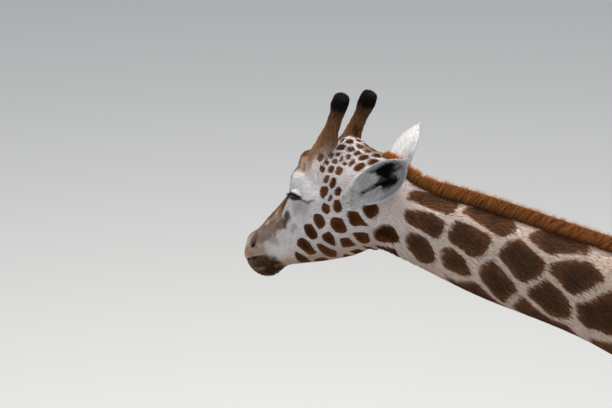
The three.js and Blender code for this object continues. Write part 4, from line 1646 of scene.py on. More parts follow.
# ------------------------------------------------------------------ finishes
@dataclass
class Nodes:
    """A small helper that adds shader nodes and joins them."""

    material: Material

    @classmethod
    def start(cls, name: str) -> "Nodes":
        """A new material with only its surface shader.

        Args:
            name: the material's name.

        Returns:
            The helper.
        """
        material = bpy.data.materials.new(name)
        material.use_nodes = True
        return cls(material)

    @property
    def shader(self) -> bpy.types.Node:
        """The surface shader."""
        return self.material.node_tree.nodes["Principled BSDF"]

    def add(self, kind: str, sockets: dict, **settings: object) -> bpy.types.Node:
        """A node with some of its properties set, and its sockets set to values or joined to other sockets.

        Args:
            kind: the node's kind.
            sockets: by name or number, a number, a colour or another node's socket.
            settings: the node's properties.

        Returns:
            The node.
        """
        node = self.material.node_tree.nodes.new(kind)
        for key, value in settings.items():
            setattr(node, key, value)
        self.feed(node, sockets)
        return node

    def feed(self, node: bpy.types.Node, sockets: dict) -> None:
        """Sets sockets to numbers or colours, or joins other sockets to them.

        Args:
            node: the node.
            sockets: values by socket name or number.
        """
        for key, value in sockets.items():
            if isinstance(value, Socket):
                self.material.node_tree.links.new(value, node.inputs[key])
            else:
                node.inputs[key].default_value = value

    def attribute(self, name: str, output: str = "Fac") -> Socket:
        """What is stored on the mesh under a name."""
        return self.add("ShaderNodeAttribute", {}, attribute_name=name).outputs[output]

    def place(self) -> Socket:
        """Where a point is on the object."""
        return self.add("ShaderNodeTexCoord", {}).outputs["Object"]

    def math(self, operation: str, *values: object) -> Socket:
        """The result of an operation on one to three values."""
        return self.add("ShaderNodeMath", dict(enumerate(values)), operation=operation).outputs[0]

    def plus(self, first: object, second: object) -> Socket:
        """The sum of two values."""
        return self.math("ADD", first, second)

    def times(self, first: object, second: object) -> Socket:
        """The product of two values."""
        return self.math("MULTIPLY", first, second)

    def scaled(self, vector: Socket, factors: Triple) -> Socket:
        """A vector with each part multiplied."""
        return self.add("ShaderNodeVectorMath", {0: vector, 1: factors}, operation="MULTIPLY").outputs[0]

    def noise(self, vector: Socket, scale: float, detail: float = 2.0) -> Socket:
        """Soft noise at a vector."""
        sockets = {"Vector": vector, "Scale": scale, "Detail": detail}
        return self.add("ShaderNodeTexNoise", sockets).outputs["Fac"]

    def ease(self, value: object, low: object, high: object, first: float = 0.0, last: float = 1.0) -> Socket:
        """A smooth step of a value between two others, to another range."""
        sockets = {"Value": value, "From Min": low, "From Max": high, "To Min": first, "To Max": last}
        return self.add("ShaderNodeMapRange", sockets, interpolation_type="SMOOTHSTEP").outputs[0]

    def mix(self, share: object, first: object, second: object, blend: str = "MIX") -> Socket:
        """A mix of two colours."""
        sockets = {0: share, 6: first, 7: second}
        return self.add("ShaderNodeMix", sockets, data_type="RGBA", blend_type=blend).outputs[2]

    def tinted(self, colour: object, by: object, low: Colour, high: Colour) -> Socket:
        """A colour multiplied by a tint that runs from low to high."""
        return self.mix(1.0, colour, self.mix(by, low, high), "MULTIPLY")

    def bump(self, height: Socket, strength: float, distance: float) -> None:
        """Presses a height into the shader's normal."""
        node = self.add("ShaderNodeBump", {"Height": height, "Strength": strength, "Distance": distance})
        self.feed(self.shader, {"Normal": node.outputs["Normal"]})

    def gloss(self, roughness: float, sheen: float = 0.0, specular: float = 0.5) -> None:
        """Sets the shader's own roughness, sheen and specular level.

        Args:
            roughness: how rough.
            sheen: how much sheen.
            specular: how much mirror.
        """
        self.feed(self.shader, {
            "Roughness": roughness, "Sheen Weight": sheen, "Sheen Roughness": 0.45,
            "Specular IOR Level": specular,
        })


@dataclass(frozen=True)
class Hide:
    """Short hair, pale or in dark patches whose borders are ragged along the hair's lie."""

    name: str = "hide"
    border: Colour = (0.092, 0.032, 0.011, 1)
    middle: Colour = (0.026, 0.009, 0.003, 1)
    light: Colour = (0.30, 0.175, 0.11, 1)

    def material(self) -> Material:
        """Builds its nodes: patch mask = smooth step of edge depth plus noise stretched along the hair.

        Returns:
            The material.
        """
        n = Nodes.start(self.name)
        lie = n.attribute("lie", "Vector")
        edge, tone, fuzz = n.attribute("edge"), n.attribute("tone"), n.attribute("fuzz")
        streak = n.noise(n.scaled(lie, (34, 330, 1)), 1.0)
        hair = n.noise(n.scaled(lie, (110, 1500, 1)), 1.0)
        cloud = n.noise(n.place(), 19.0)
        ragged = n.times(n.math("SUBTRACT", streak, 0.5), n.times(fuzz, 3.4))
        fine = n.times(n.math("SUBTRACT", hair, 0.5), n.times(fuzz, 1.6))
        deep = n.plus(n.plus(edge, ragged), fine)
        inside = n.ease(deep, n.times(fuzz, -0.35), n.times(fuzz, 0.35))
        heart = n.ease(n.plus(deep, n.times(cloud, 0.04)), 0.02, 0.046)
        mark = n.mix(n.ease(tone, 1.0, 0.2), n.mix(heart, self.border, self.middle), self.light)
        mark = n.tinted(mark, n.ease(streak, 0.25, 0.75), (0.66, 0.66, 0.66, 1), (1.36, 1.3, 1.25, 1))
        ground = n.attribute("ground", "Color")
        ground = n.tinted(ground, n.ease(streak, 0.25, 0.78), (0.82, 0.79, 0.77, 1), (1.1, 1.1, 1.1, 1))
        ground = n.tinted(ground, n.ease(hair, 0.25, 0.75), (0.88, 0.87, 0.86, 1), (1.06, 1.06, 1.06, 1))
        n.feed(n.shader, {"Base Color": n.mix(inside, ground, mark)})
        n.bump(n.plus(hair, n.times(streak, 1.4)), 0.32, 0.0016)
        n.gloss(0.88, 0.0, 0.05)
        return n.material


@dataclass(frozen=True)
class Hair:
    """Long hair coloured from root to tip, with a random shade for each lock."""

    name: str
    root: Colour
    tip: Colour
    roughness: float = 0.55

    def material(self) -> Material:
        """Builds its nodes: root to tip by the attribute "grow", each lock lighter or darker by "shade".

        Returns:
            The material.
        """
        n = Nodes.start(self.name)
        body = n.mix(n.ease(n.attribute("grow"), 0.0, 1.0), self.root, self.tip)
        colour = n.tinted(body, n.attribute("shade"), (0.42, 0.40, 0.38, 1), (1.5, 1.46, 1.42, 1))
        n.feed(n.shader, {"Base Color": colour})
        n.bump(n.noise(n.place(), 900.0, 1.0), 0.12, 0.0005)
        n.gloss(self.roughness, 0.0, 0.1)
        return n.material


@dataclass(frozen=True)
class Horn:
    """Hoof horn: dark grey-brown, with growth rings, fine upright grain and lighter scuffs scattered by
    noise.
    """

    name: str = "hoof"

    def material(self) -> Material:
        """Builds its nodes from object coordinates.

        Returns:
            The material.
        """
        n = Nodes.start(self.name)
        place = n.place()
        rings = n.noise(n.scaled(place, (6, 6, 150)), 1.0)
        grain = n.noise(n.scaled(place, (420, 420, 26)), 1.0)
        worn = n.noise(place, 34.0, 3.0)
        colour = n.mix(rings, (0.05, 0.036, 0.026, 1), (0.15, 0.115, 0.085, 1))
        colour = n.mix(n.ease(worn, 0.52, 0.72), colour, (0.22, 0.18, 0.14, 1))
        n.feed(n.shader, {"Base Color": colour, "Roughness": n.ease(worn, 0.35, 0.7, 0.38, 0.62)})
        n.bump(n.plus(rings, n.times(grain, 0.4)), 0.35, 0.002)
        return n.material


@dataclass(frozen=True)
class Eyeball:
    """A wet, very dark brown eye with a wide pupil, read from the distance across and up the ball."""

    name: str = "eye"

    def material(self) -> Material:
        """Builds its nodes: iris fibres round a wide black pupil, a dark ring, and brown-white beyond.

        Returns:
            The material.
        """
        n = Nodes.start(self.name)
        at = n.attribute("eye", "Vector")
        across, up, _ = n.add("ShaderNodeSeparateXYZ", {0: at}).outputs

        def far(*ways: Socket) -> Socket:
            """The distance that two distances square to each other make."""
            return n.math("SQRT", n.plus(*(n.math("POWER", n.math("ABSOLUTE", way), 2.0) for way in ways)))
        edge, pupil = far(across, up), far(n.times(across, 0.62), n.times(up, 1.25))
        fibres = n.noise(n.scaled(at, (9, 9, 1)), 2.5, 3.0)
        iris = n.mix(fibres, (0.018, 0.009, 0.004, 1), (0.075, 0.036, 0.016, 1))
        colour = n.mix(n.ease(pupil, 0.30, 0.36), (0.002, 0.002, 0.003, 1), iris)
        colour = n.mix(n.ease(edge, 0.66, 0.74), colour, (0.006, 0.004, 0.003, 1))
        colour = n.mix(n.ease(edge, 0.8, 0.92), colour, (0.10, 0.055, 0.04, 1))
        n.gloss(0.06, 0.0, 0.6)
        n.feed(n.shader, {"Base Color": colour, "Coat Weight": 1.0, "Coat Roughness": 0.03})
        return n.material


@dataclass(frozen=True)
class Floor:
    """A plain pale floor."""

    name: str = "floor"

    def material(self) -> Material:
        """A single soft grey.

        Returns:
            The material.
        """
        n = Nodes.start(self.name)
        n.feed(n.shader, {"Base Color": (0.62, 0.61, 0.59, 1)})
        n.gloss(0.9)
        return n.material


# ------------------------------------------------------------------ the studio
@dataclass
class Studio:
    """The camera, the lights and the floor."""

    azimuth: float = 110.0
    elevation: float = 20.0
    distance: float = 9.0
    view: float = 1.8773006  # metres across the view at that distance
    aim: tuple[float, float] = (0.0214724, -0.0276074)  # metres right of and above the left eye
    sensor: float = 36.0

    @staticmethod
    def stand(name: str, data: bpy.types.ID, at: Array, right: Array, back: Array) -> Object:
        """Puts a camera or a light at a place, looking away from back with its right side along right.

        Args:
            name: the object's name.
            data: the camera or light.
            at: where it stands.
            right: its right side.
            back: the way behind it.

        Returns:
            The object.
        """
        made = bpy.data.objects.new(name, data)
        bpy.context.scene.collection.objects.link(made)
        matrix = np.eye(4)
        matrix[:3] = np.stack([right, np.cross(back, right), back, at], 1)
        made.matrix_world = Matrix(matrix.tolist())
        return made

    def camera(self) -> None:
        """Looks at a point near the left eye along the azimuth and elevation."""
        a, e = np.radians(self.azimuth), np.radians(self.elevation)
        back = np.array([np.sin(a) * np.cos(e), -np.cos(a) * np.cos(e), np.sin(e)])
        right = np.array([np.cos(a), np.sin(a), 0])
        target = placed(EYE_PLACE) + right * self.aim[0] + np.cross(back, right) * self.aim[1]
        data = bpy.data.cameras.new("camera")
        data.sensor_width = self.sensor
        data.lens = self.sensor * self.distance / self.view
        data.clip_end = 400
        bpy.context.scene.camera = self.stand("camera", data, target + back * self.distance, right, back)

    def light(self, name: str, at: Triple, aim: Triple, size: float, watts: float, colour: Triple) -> None:
        """A square soft light that faces a point.

        Args:
            name: its name.
            at: where it stands.
            aim: what it faces.
            size: its side in metres.
            watts: its power.
            colour: its colour.
        """
        data = bpy.data.lights.new(name, "AREA")
        data.shape, data.size, data.energy, data.color = "SQUARE", size, watts, colour
        back = unit(np.array(at, float) - np.array(aim, float))
        self.stand(name, data, at, unit(np.cross([0, 0, 1.0], back + [1e-6, 0, 0])), back)

    def build(self) -> None:
        """Floor, world and lights."""
        verts = np.array([(-60, -60, 0), (60, -60, 0), (60, 60, 0), (-60, 60, 0)], float)
        faces = Faces(np.arange(4), np.array([0]), np.array([(0, 0), (1, 0), (1, 1), (0, 1)], float))
        floor = make_mesh("floor", verts, faces, "floor")
        floor.data.materials.append(Floor().material())
        world = bpy.data.worlds.new("studio")
        world.use_nodes = True
        world.node_tree.nodes["Background"].inputs[0].default_value = (0.86, 0.92, 1.0, 1)
        world.node_tree.nodes["Background"].inputs[1].default_value = 0.55
        bpy.context.scene.world = world
        bpy.context.scene.view_settings.view_transform = "Standard"
        self.light("key", (-2.2, -2.6, 9.5), (0, -1.0, 2.4), 4.5, 1000, (1, 0.97, 0.93))
        self.light("fill", (7.5, -1.0, 5.0), (0, -0.8, 2.0), 5.0, 150, (0.95, 0.98, 1))


# ------------------------------------------------------------------ hair as solid mesh
@dataclass
class Strands:
    """Many thin tapered hairs or tufts, each a closed three-sided spike along its own centre line.

    centre holds the rings' middles and the tip (hairs by rings + 1 by x, y, z, in mm). across and over are
    each ring's sideways and outward extent, root_uv each hair's place on the skin's map.
    """

    centre: Array
    across: Array
    over: Array
    root_uv: Array

    @property
    def rings(self) -> int:
        """How many three-cornered rings a hair has before its tip."""
        return self.centre.shape[1] - 1

    def arrays(self) -> tuple[Array, Faces]:
        """Vertices in mm and faces; a ring's corners are -1/2, 1/2, 0 across and -0.3, -0.3, 0.6 over.

        Returns:
            The vertices and the faces.
        """
        k, count = self.rings, len(self.centre)
        side = np.array([-0.5, 0.5, 0.0])[None, None, :, None]
        rise = np.array([-0.3, -0.3, 0.6])[None, None, :, None]
        ring = self.centre[:, :k, None] + self.across[:, :, None] * side + self.over[:, :, None] * rise
        verts = np.concatenate([ring.reshape(count, 3 * k, 3), self.centre[:, k:]], 1)
        walls = [[3 * i + j, 3 * i + (j + 1) % 3, 3 * i + 3 + (j + 1) % 3, 3 * i + 3 + j]
                 for i in range(k - 1) for j in range(3)]
        fans = [[3 * k - 3 + j, 3 * k - 3 + (j + 1) % 3, 3 * k] for j in range(3)] + [[2, 1, 0]]
        one = np.array([v for face in walls + fans for v in face])
        sizes = np.array([len(face) for face in walls + fans])
        size = verts.shape[1]
        corners = (one[None] + np.arange(count)[:, None] * size).ravel()
        starts = np.r_[0, np.cumsum(np.tile(sizes, count))[:-1]]
        part = np.append(np.repeat(np.arange(k), 3), k) / k
        spread = np.append(np.tile([-1.0, 1.0, 0.0], k), 0) * (1 - 0.6 * part) * 0.0014
        local = np.stack([spread, (part - 0.5) * 0.0028], 1)
        uv = np.clip(self.root_uv[:, None] + local[None], 0.0005, 0.9995).reshape(-1, 2)[corners]
        faces = Faces(corners, starts, uv)
        flat = verts.reshape(-1, 3)
        first = Faces(one, starts[:len(sizes)], uv[:len(one)])
        return flat, faces if volume(verts[0] - verts[0].mean(0), first) > 0 else faces.turned_over()

    def grow(self) -> Array:
        """How far along its hair each vertex is, from 0 at the root to 1 at the tip."""
        part = np.append(np.repeat(np.arange(self.rings), 3), self.rings) / self.rings
        return np.tile(part, len(self.centre))

    def spread(self, values: Array) -> Array:
        """One value a hair, repeated for its vertices."""
        return np.repeat(values, 3 * self.rings + 1, axis=0)

    def piece(self, name: str, hair: Material, slot: str, shade: Array) -> Object:
        """A finished piece of long hair, whose material reads "grow" and "shade"."""
        return piece(name, self.arrays(), {"grow": self.grow(), "shade": self.spread(shade)}, hair, slot)

    def coat(self, name: str, marks: Marks, hide: Material, slot: str) -> Object:
        """A finished piece of short hair with the coat's markings, given one row a hair."""
        rows = self.spread(np.arange(len(self.centre)))
        return piece(name, self.arrays(), marks.at(rows).stored(), hide, slot)


def core(node: str, points: Array, grow: float, shade: float, hair: Material, slot: str) -> None:
    """The solid inside a brush of long hair, in its node's place and in the hair's own colours.

    Args:
        node: the node it stands for.
        points: its rings.
        grow: its place between root and tip colour.
        shade: how light it is.
        hair: its finish.
        slot: its slot.
    """
    verts, faces = capped(points)
    values = {"grow": np.full(len(verts), grow), "shade": np.full(len(verts), shade)}
    piece(f"{node}_core", (verts, faces), values, hair, slot, node)


def joined(sets: Iterable) -> "Strands | Marks":
    """Several sets of hairs with the same number of rings, or of marks, as one.

    Args:
        sets: the sets.

    Returns:
        One set of the same kind.
    """
    sets = list(sets)
    return type(sets[0])(*(np.concatenate([getattr(s, f.name) for s in sets]) for f in fields(sets[0])))


def bent(
    root: Array, ahead: Array, up: Array, length: Array, width: Array, lifts: Array, curl: Array, uv: Array,
    taper: tuple[float, ...] = (1.0, 0.8, 0.5),
) -> Strands:
    """Hairs that leave their roots along ahead and rise by lifts along up, curling sideways.

    The centre line is root + ahead * length * s + up * lift(s) + side * curl * s^2, for s from 0 to 1.

    Args:
        root: where each hair starts.
        ahead: the way it points.
        up: the way it rises.
        length: its length in mm.
        width: its width at the root in mm.
        lifts: how high it stands at each ring and the tip, one row for all or one a hair.
        curl: how far its tip goes sideways, in mm.
        uv: its place on the skin's map.
        taper: its width at each ring, as a part of the root's.

    Returns:
        The hairs.
    """
    k = len(taper)
    s = (np.arange(k + 1) / k)[None, :, None]
    side = unit(np.cross(up, ahead))
    centre = (root[:, None] + ahead[:, None] * length[:, None, None] * s
              + up[:, None] * np.broadcast_to(lifts, (len(root), k + 1))[..., None]
              + side[:, None] * curl[:, None, None] * s * s)
    size = (width[:, None] * np.array(taper))[..., None]
    return Strands(centre, side[:, None] * size, up[:, None] * size * 0.55, uv)


@dataclass(frozen=True)
class Sown:
    """Places on the skin picked for hairs: each root's point, normal, hair's way, marks and map place."""

    root: Array
    normal: Array
    flow: Array
    marks: Marks
    uv: Array
    table: Array


class Sower:
    """Picks roots on the skin, as evenly as its area and a density ask."""

    def __init__(self, skin: Skin) -> None:
        """Measures the skin's triangles.

        Args:
            skin: the skin.
        """
        self.skin, self.surface = skin, skin.surface
        corner = self.surface.verts[self.surface.triangles]
        doubled = np.cross(corner[:, 1] - corner[:, 0], corner[:, 2] - corner[:, 0])
        self.area = np.linalg.norm(doubled, axis=1) / 2
        self.centre = corner.mean(1)
        table = self.surface.table[self.surface.triangles]
        self.part = table[:, 0, 0].astype(int)
        self.row = table[:, :, 1].mean(1)
        self.turn = table[:, 0, 2]
        self.arc = skin.body.arc(self.row)
        self.left = self.centre[:, 0] > 0
        self.left = np.where((self.part == 0) & (self.arc > -1900), table[:, :, 2].mean(1) > 0, self.left)

    def sow(self, density: Array, count: int, rng: Random) -> Sown:
        """Roots at even steps of area times density over the triangles in order, shaken within the steps.

        Args:
            density: one weight a triangle.
            count: how many roots.
            rng: the random draws.

        Returns:
            The roots.
        """
        weight = np.cumsum(self.area * density)
        at = (np.arange(count) + rng.random(count)) / count * weight[-1]
        pick = np.minimum(np.searchsorted(weight, at), len(weight) - 1)
        a, b = rng.random(count), rng.random(count)
        flip = a + b > 1
        a, b = np.where(flip, 1 - a, a), np.where(flip, 1 - b, b)
        share = np.stack([1 - a - b, a, b], 1)
        rows = self.surface.triangles[pick]

        def mean(values: Array) -> Array:
            """The values at the roots, from those at the triangles' corners."""
            return np.einsum("ij,ijk->ik", share, values)
        normal = unit(mean(self.surface.normals[rows]))
        flow = square(mean(self.surface.table[rows, 5:8]), normal)
        uv = mean(self.surface.corner_uv[pick])
        table = self.surface.table[rows[:, 0]]
        marks = self.surface.marks.at(rows, share)
        return Sown(mean(self.surface.verts[rows]), normal, flow, marks, uv, table)


LONG_CHIN = (knob((545, 10, -118), 30, 1), knob((510, 20, -118), 26, 0.8))  # where the coat is longest
LONG_CROWN = (knob((-20, 20, 100), 34, 1),)
HEAD_COAT, NECK_COAT = -110.0, -1500.0  # from the nape to where the head's and the neck's coats end


@dataclass(frozen=True)
class CoatPiece:
    """One piece of the short coat: how many tufts, and their length and width in mm."""

    name: str
    count: int
    length: float
    width: float


@dataclass
class Coat:
    """The short coat: thin flat tufts that overlap and lie along the body."""

    skin: Skin
    hide: Material
    pieces: tuple[CoatPiece, ...] = (
        CoatPiece("coat_head_left", 17600, 10.5, 1.25), CoatPiece("coat_head_right", 12600, 10.5, 1.4),
        CoatPiece("coat_neck_left", 17600, 18.0, 2.0), CoatPiece("coat_neck_right", 12200, 18.0, 2.3),
        CoatPiece("coat_trunk_left", 11000, 27.0, 3.5), CoatPiece("coat_trunk_right", 11000, 27.0, 3.5),
        CoatPiece("coat_legs", 14600, 17.0, 2.6), CoatPiece("coat_ears", 7600, 9.0, 1.1),
    )

    def build(self) -> None:
        """Sows and grows each piece."""
        sower = Sower(self.skin)
        part, arc, left = sower.part, sower.arc, sower.left
        body = part == Part.BODY
        head, trunk = body & (arc > HEAD_COAT), body & (arc <= NECK_COAT)
        neck = body & ~head & ~trunk
        tail = part == Part.TAIL
        ear = is_ear(part)
        where = {"coat_legs": ~body & ~ear, "coat_ears": ear}
        for name, region in (("head", head), ("neck", neck), ("trunk", trunk)):
            where |= {f"coat_{name}_left": region & left, f"coat_{name}_right": region & ~left}
        shown = smooth(27, 32, from_eyes(sower.centre))
        near = np.interp(arc, [-1500, -900], [0.45, 1.0])
        sunken = (body & (arc < -60) & (np.abs(sower.turn) < 0.1)) * 1.0
        for k, wanted in enumerate(self.pieces):
            density = where[wanted.name] * shown * np.where(neck, near, 1.0) * (1 - sunken)
            density = density * np.where(tail, 2, 1)
            sown = sower.sow(density, wanted.count, np.random.default_rng(SEED + 10 + k))
            self.grow(wanted, sown, k)

    def grow(self, wanted: CoatPiece, sown: Sown, k: int) -> None:
        """One piece: tufts shorter on the face and feet, each shaded a little for itself.

        Args:
            wanted: the piece.
            sown: its roots.
            k: the piece's number, which picks its random draws.
        """
        rng = np.random.default_rng(SEED + 40 + k)
        count = wanted.count
        part = sown.table[:, 0].astype(int)
        arc = self.skin.body.arc(sown.table[:, 1])
        face = np.interp(arc, [HEAD_COAT, 60, 250, 420, 600], [1.45, 1.1, 0.8, 0.62, 0.5])
        size = np.where((part == Part.BODY) & (arc > HEAD_COAT), face, 1.0)
        leg = is_leg(part)
        size = np.where(leg, np.interp(sown.root[:, 2], [120, 300, 1400], [0.55, 0.6, 1.15]), size)
        place = to_head(sown.root)
        chin = (part == Part.BODY) * relief(LONG_CHIN, place).clip(0, 1)
        crown = (part == Part.BODY) * relief(LONG_CROWN, place)
        size = size * (1 + 0.9 * chin + 0.7 * crown)
        length = wanted.length * size * rng.uniform(0.7, 1.3, count)
        width = wanted.width * np.sqrt(size) * rng.uniform(0.75, 1.25, count)
        sway = rng.normal(0, 0.16, count)[:, None] + 0.12 * speckle(sown.root, 40, 7)[:, None]
        side = np.cross(sown.normal, sown.flow)
        ahead = unit(sown.flow + side * sway)
        lift = np.array([-0.7, 0.75, 0.55]) * np.sqrt(size)[:, None]
        lift = lift + np.array([0, 0.6, 2.2]) * (chin + 0.6 * crown)[:, None]
        lift = lift + np.array([0, 0.12, 0.5]) * rng.random(count)[:, None] ** 3 * (length / 9)[:, None]
        curl = rng.normal(0, 0.08, count) * length
        hairs = bent(sown.root, ahead, sown.normal, length, width, lift, curl, sown.uv, (1.0, 0.8))
        shade = rng.uniform(0.9, 1.08, count)[:, None]
        sown.marks.ground = np.clip(sown.marks.ground * shade, 0, 1)
        hairs.coat(wanted.name, sown.marks, self.hide, "coat")


@dataclass
class Mane:
    """A brush of stiff upright hair along the crest of the neck, over a solid core."""

    skin: Skin
    height: float = 54.0
    half_width: float = 17.0
    start: float = 7.45
    end: float = 14.15
    count: int = 8000

    def frame(self, t: Array) -> tuple[Array, Array, Array, Array, Array]:
        """At station numbers: the crest's point, the ways up, left and tailward, and the mane's height.

        Args:
            t: station numbers.

        Returns:
            Four arrays of x, y, z and one of heights.
        """
        s = through(self.skin.body.stations, t)
        up = turned(np.tile([0.0, 0, 1], (len(t), 1)), s[:, 3], s[:, 4], s[:, 5])
        left = turned(np.tile([0.0, 1, 0], (len(t), 1)), s[:, 3], s[:, 4], s[:, 5])
        crest = s[:, :3] + up * s[:, 7:8]
        along = (t - self.start) / (self.end - self.start)
        tall = self.height * np.minimum(np.minimum(1, 0.18 + 5 * along), 0.3 + 3 * (1 - along))
        return crest, up, left, np.cross(up, left), tall

    def build(self, hair: Material) -> None:
        """The core, a ridge with a rounded top, and the locks that stand on it.

        Args:
            hair: its finish.
        """
        t = np.linspace(self.start + 0.02, self.end - 0.02, 260)
        crest, up, left, _, tall = self.frame(t)
        angle = circle(20)
        side = np.sin(angle)[None, :, None] * (self.half_width - 6)
        high = np.cos(angle)[None, :, None]
        high = np.where(high > 0, high * np.maximum(tall - 15, 2)[:, None, None], high * 14)
        points = crest[:, None] + left[:, None] * side + up[:, None] * high
        core("mane", points, 0.25, 0.35, hair, "mane")
        rng = np.random.default_rng(SEED + 2)
        pace = np.r_[0, np.cumsum(np.linalg.norm(np.diff(crest, axis=0), axis=1))]
        at = (np.arange(self.count) + rng.random(self.count)) / self.count * pace[-1]
        t_hair = np.interp(at, pace, t)
        crest, up, left, back, tall = self.frame(t_hair)
        x = rng.uniform(-1, 1, self.count)
        clump = speckle(np.stack([at, 0 * at, x * 9], 1), 13, 4)
        root = crest + left * (x * (self.half_width - 3.5))[:, None] - up * (10 + 3 * x * x)[:, None]
        ahead = unit(up + left * (x * 0.22 + 0.05 * clump + rng.normal(0, 0.05, self.count))[:, None]
                     + back * (0.26 + 0.14 * clump + rng.normal(0, 0.09, self.count))[:, None])
        length = (tall + 11) * (1 - 0.34 * x * x) * (1 + 0.06 * clump) * rng.uniform(0.84, 1.04, self.count)
        uv = np.stack([0.02 + 0.96 * at / pace[-1], 0.5 + 0.4 * x], 1)
        hairs = bent(root, ahead, back, length, rng.uniform(3.0, 4.6, self.count),
                     np.array([0, 0.6, 1.8, 4.0, 7.0]) * (length / self.height)[:, None],
                     rng.normal(0, 2.2, self.count), uv, (1.0, 0.95, 0.8, 0.5))
        shade = np.clip(0.5 + 0.22 * clump + rng.normal(0, 0.14, self.count), 0, 1)
        hairs.piece("mane_locks", hair, "mane", shade)


@dataclass
class TailTuft:
    """The long black hair at the end of the tail, hanging round a thin core."""

    count: int = 1500
    top: float = 1395.0
    bottom: float = 782.0
    start: float = 260.0  # how far down from the top the last hairs start

    def build(self, hair: Material) -> None:
        """The core and the locks: each starts on the tail's end and falls in the tuft's own outline.

        Args:
            hair: its finish.
        """
        points, _, _ = Tube(on_middle(TAIL_TUFT), TAIL_TUFT[:, 2] * 0.72, 60, 20).rings()
        core("tail_tuft", points, 0.3, 0.3, hair, "tail_hair")
        rng = np.random.default_rng(SEED + 3)
        n = self.count
        angle, drop = rng.uniform(0, 2 * np.pi, n), rng.random(n) ** 1.4 * self.start
        reach = rng.uniform(0.5, 1, n)
        length = rng.uniform(0.62, 1.0, n) * (self.top - self.bottom - drop)
        s = np.linspace(0, 1, 8)[None]
        z = self.top - drop[:, None] - length[:, None] * s
        radius = np.interp(z, TAIL_TUFT[::-1, 1], TAIL_TUFT[::-1, 2]) * reach[:, None] * (0.98 - 0.1 * s)
        radius = np.where(z > 1329, np.interp(z, [1329, 1400], [16, 17]), radius)
        swirl = angle[:, None] + 0.28 * np.sin(s * 5 + rng.uniform(0, 6, n)[:, None]) + 0.2 * s
        y = -np.interp(z, TAIL_TUFT[::-1, 1], TAIL_TUFT[::-1, 0])
        centre = np.stack([radius * np.cos(swirl), y + radius * np.sin(swirl), z], -1)
        ahead = unit(np.diff(centre, axis=1))
        out = np.stack([np.cos(swirl), np.sin(swirl), 0 * swirl], -1)[:, :-1]
        across = unit(np.cross(out, ahead))
        size = rng.uniform(3.4, 6.0, n)[:, None, None] * np.array([0.8, 1, 1, 0.9, 0.75, 0.6, 0.4])[:, None]
        uv = np.stack([angle / 6.3, 0.05 + 0.9 * reach], 1)
        hairs = Strands(centre, across * size, out * size * 0.5, uv)
        hairs.piece("tail_tuft_locks", hair, "tail_hair", rng.uniform(0.15, 0.85, n))


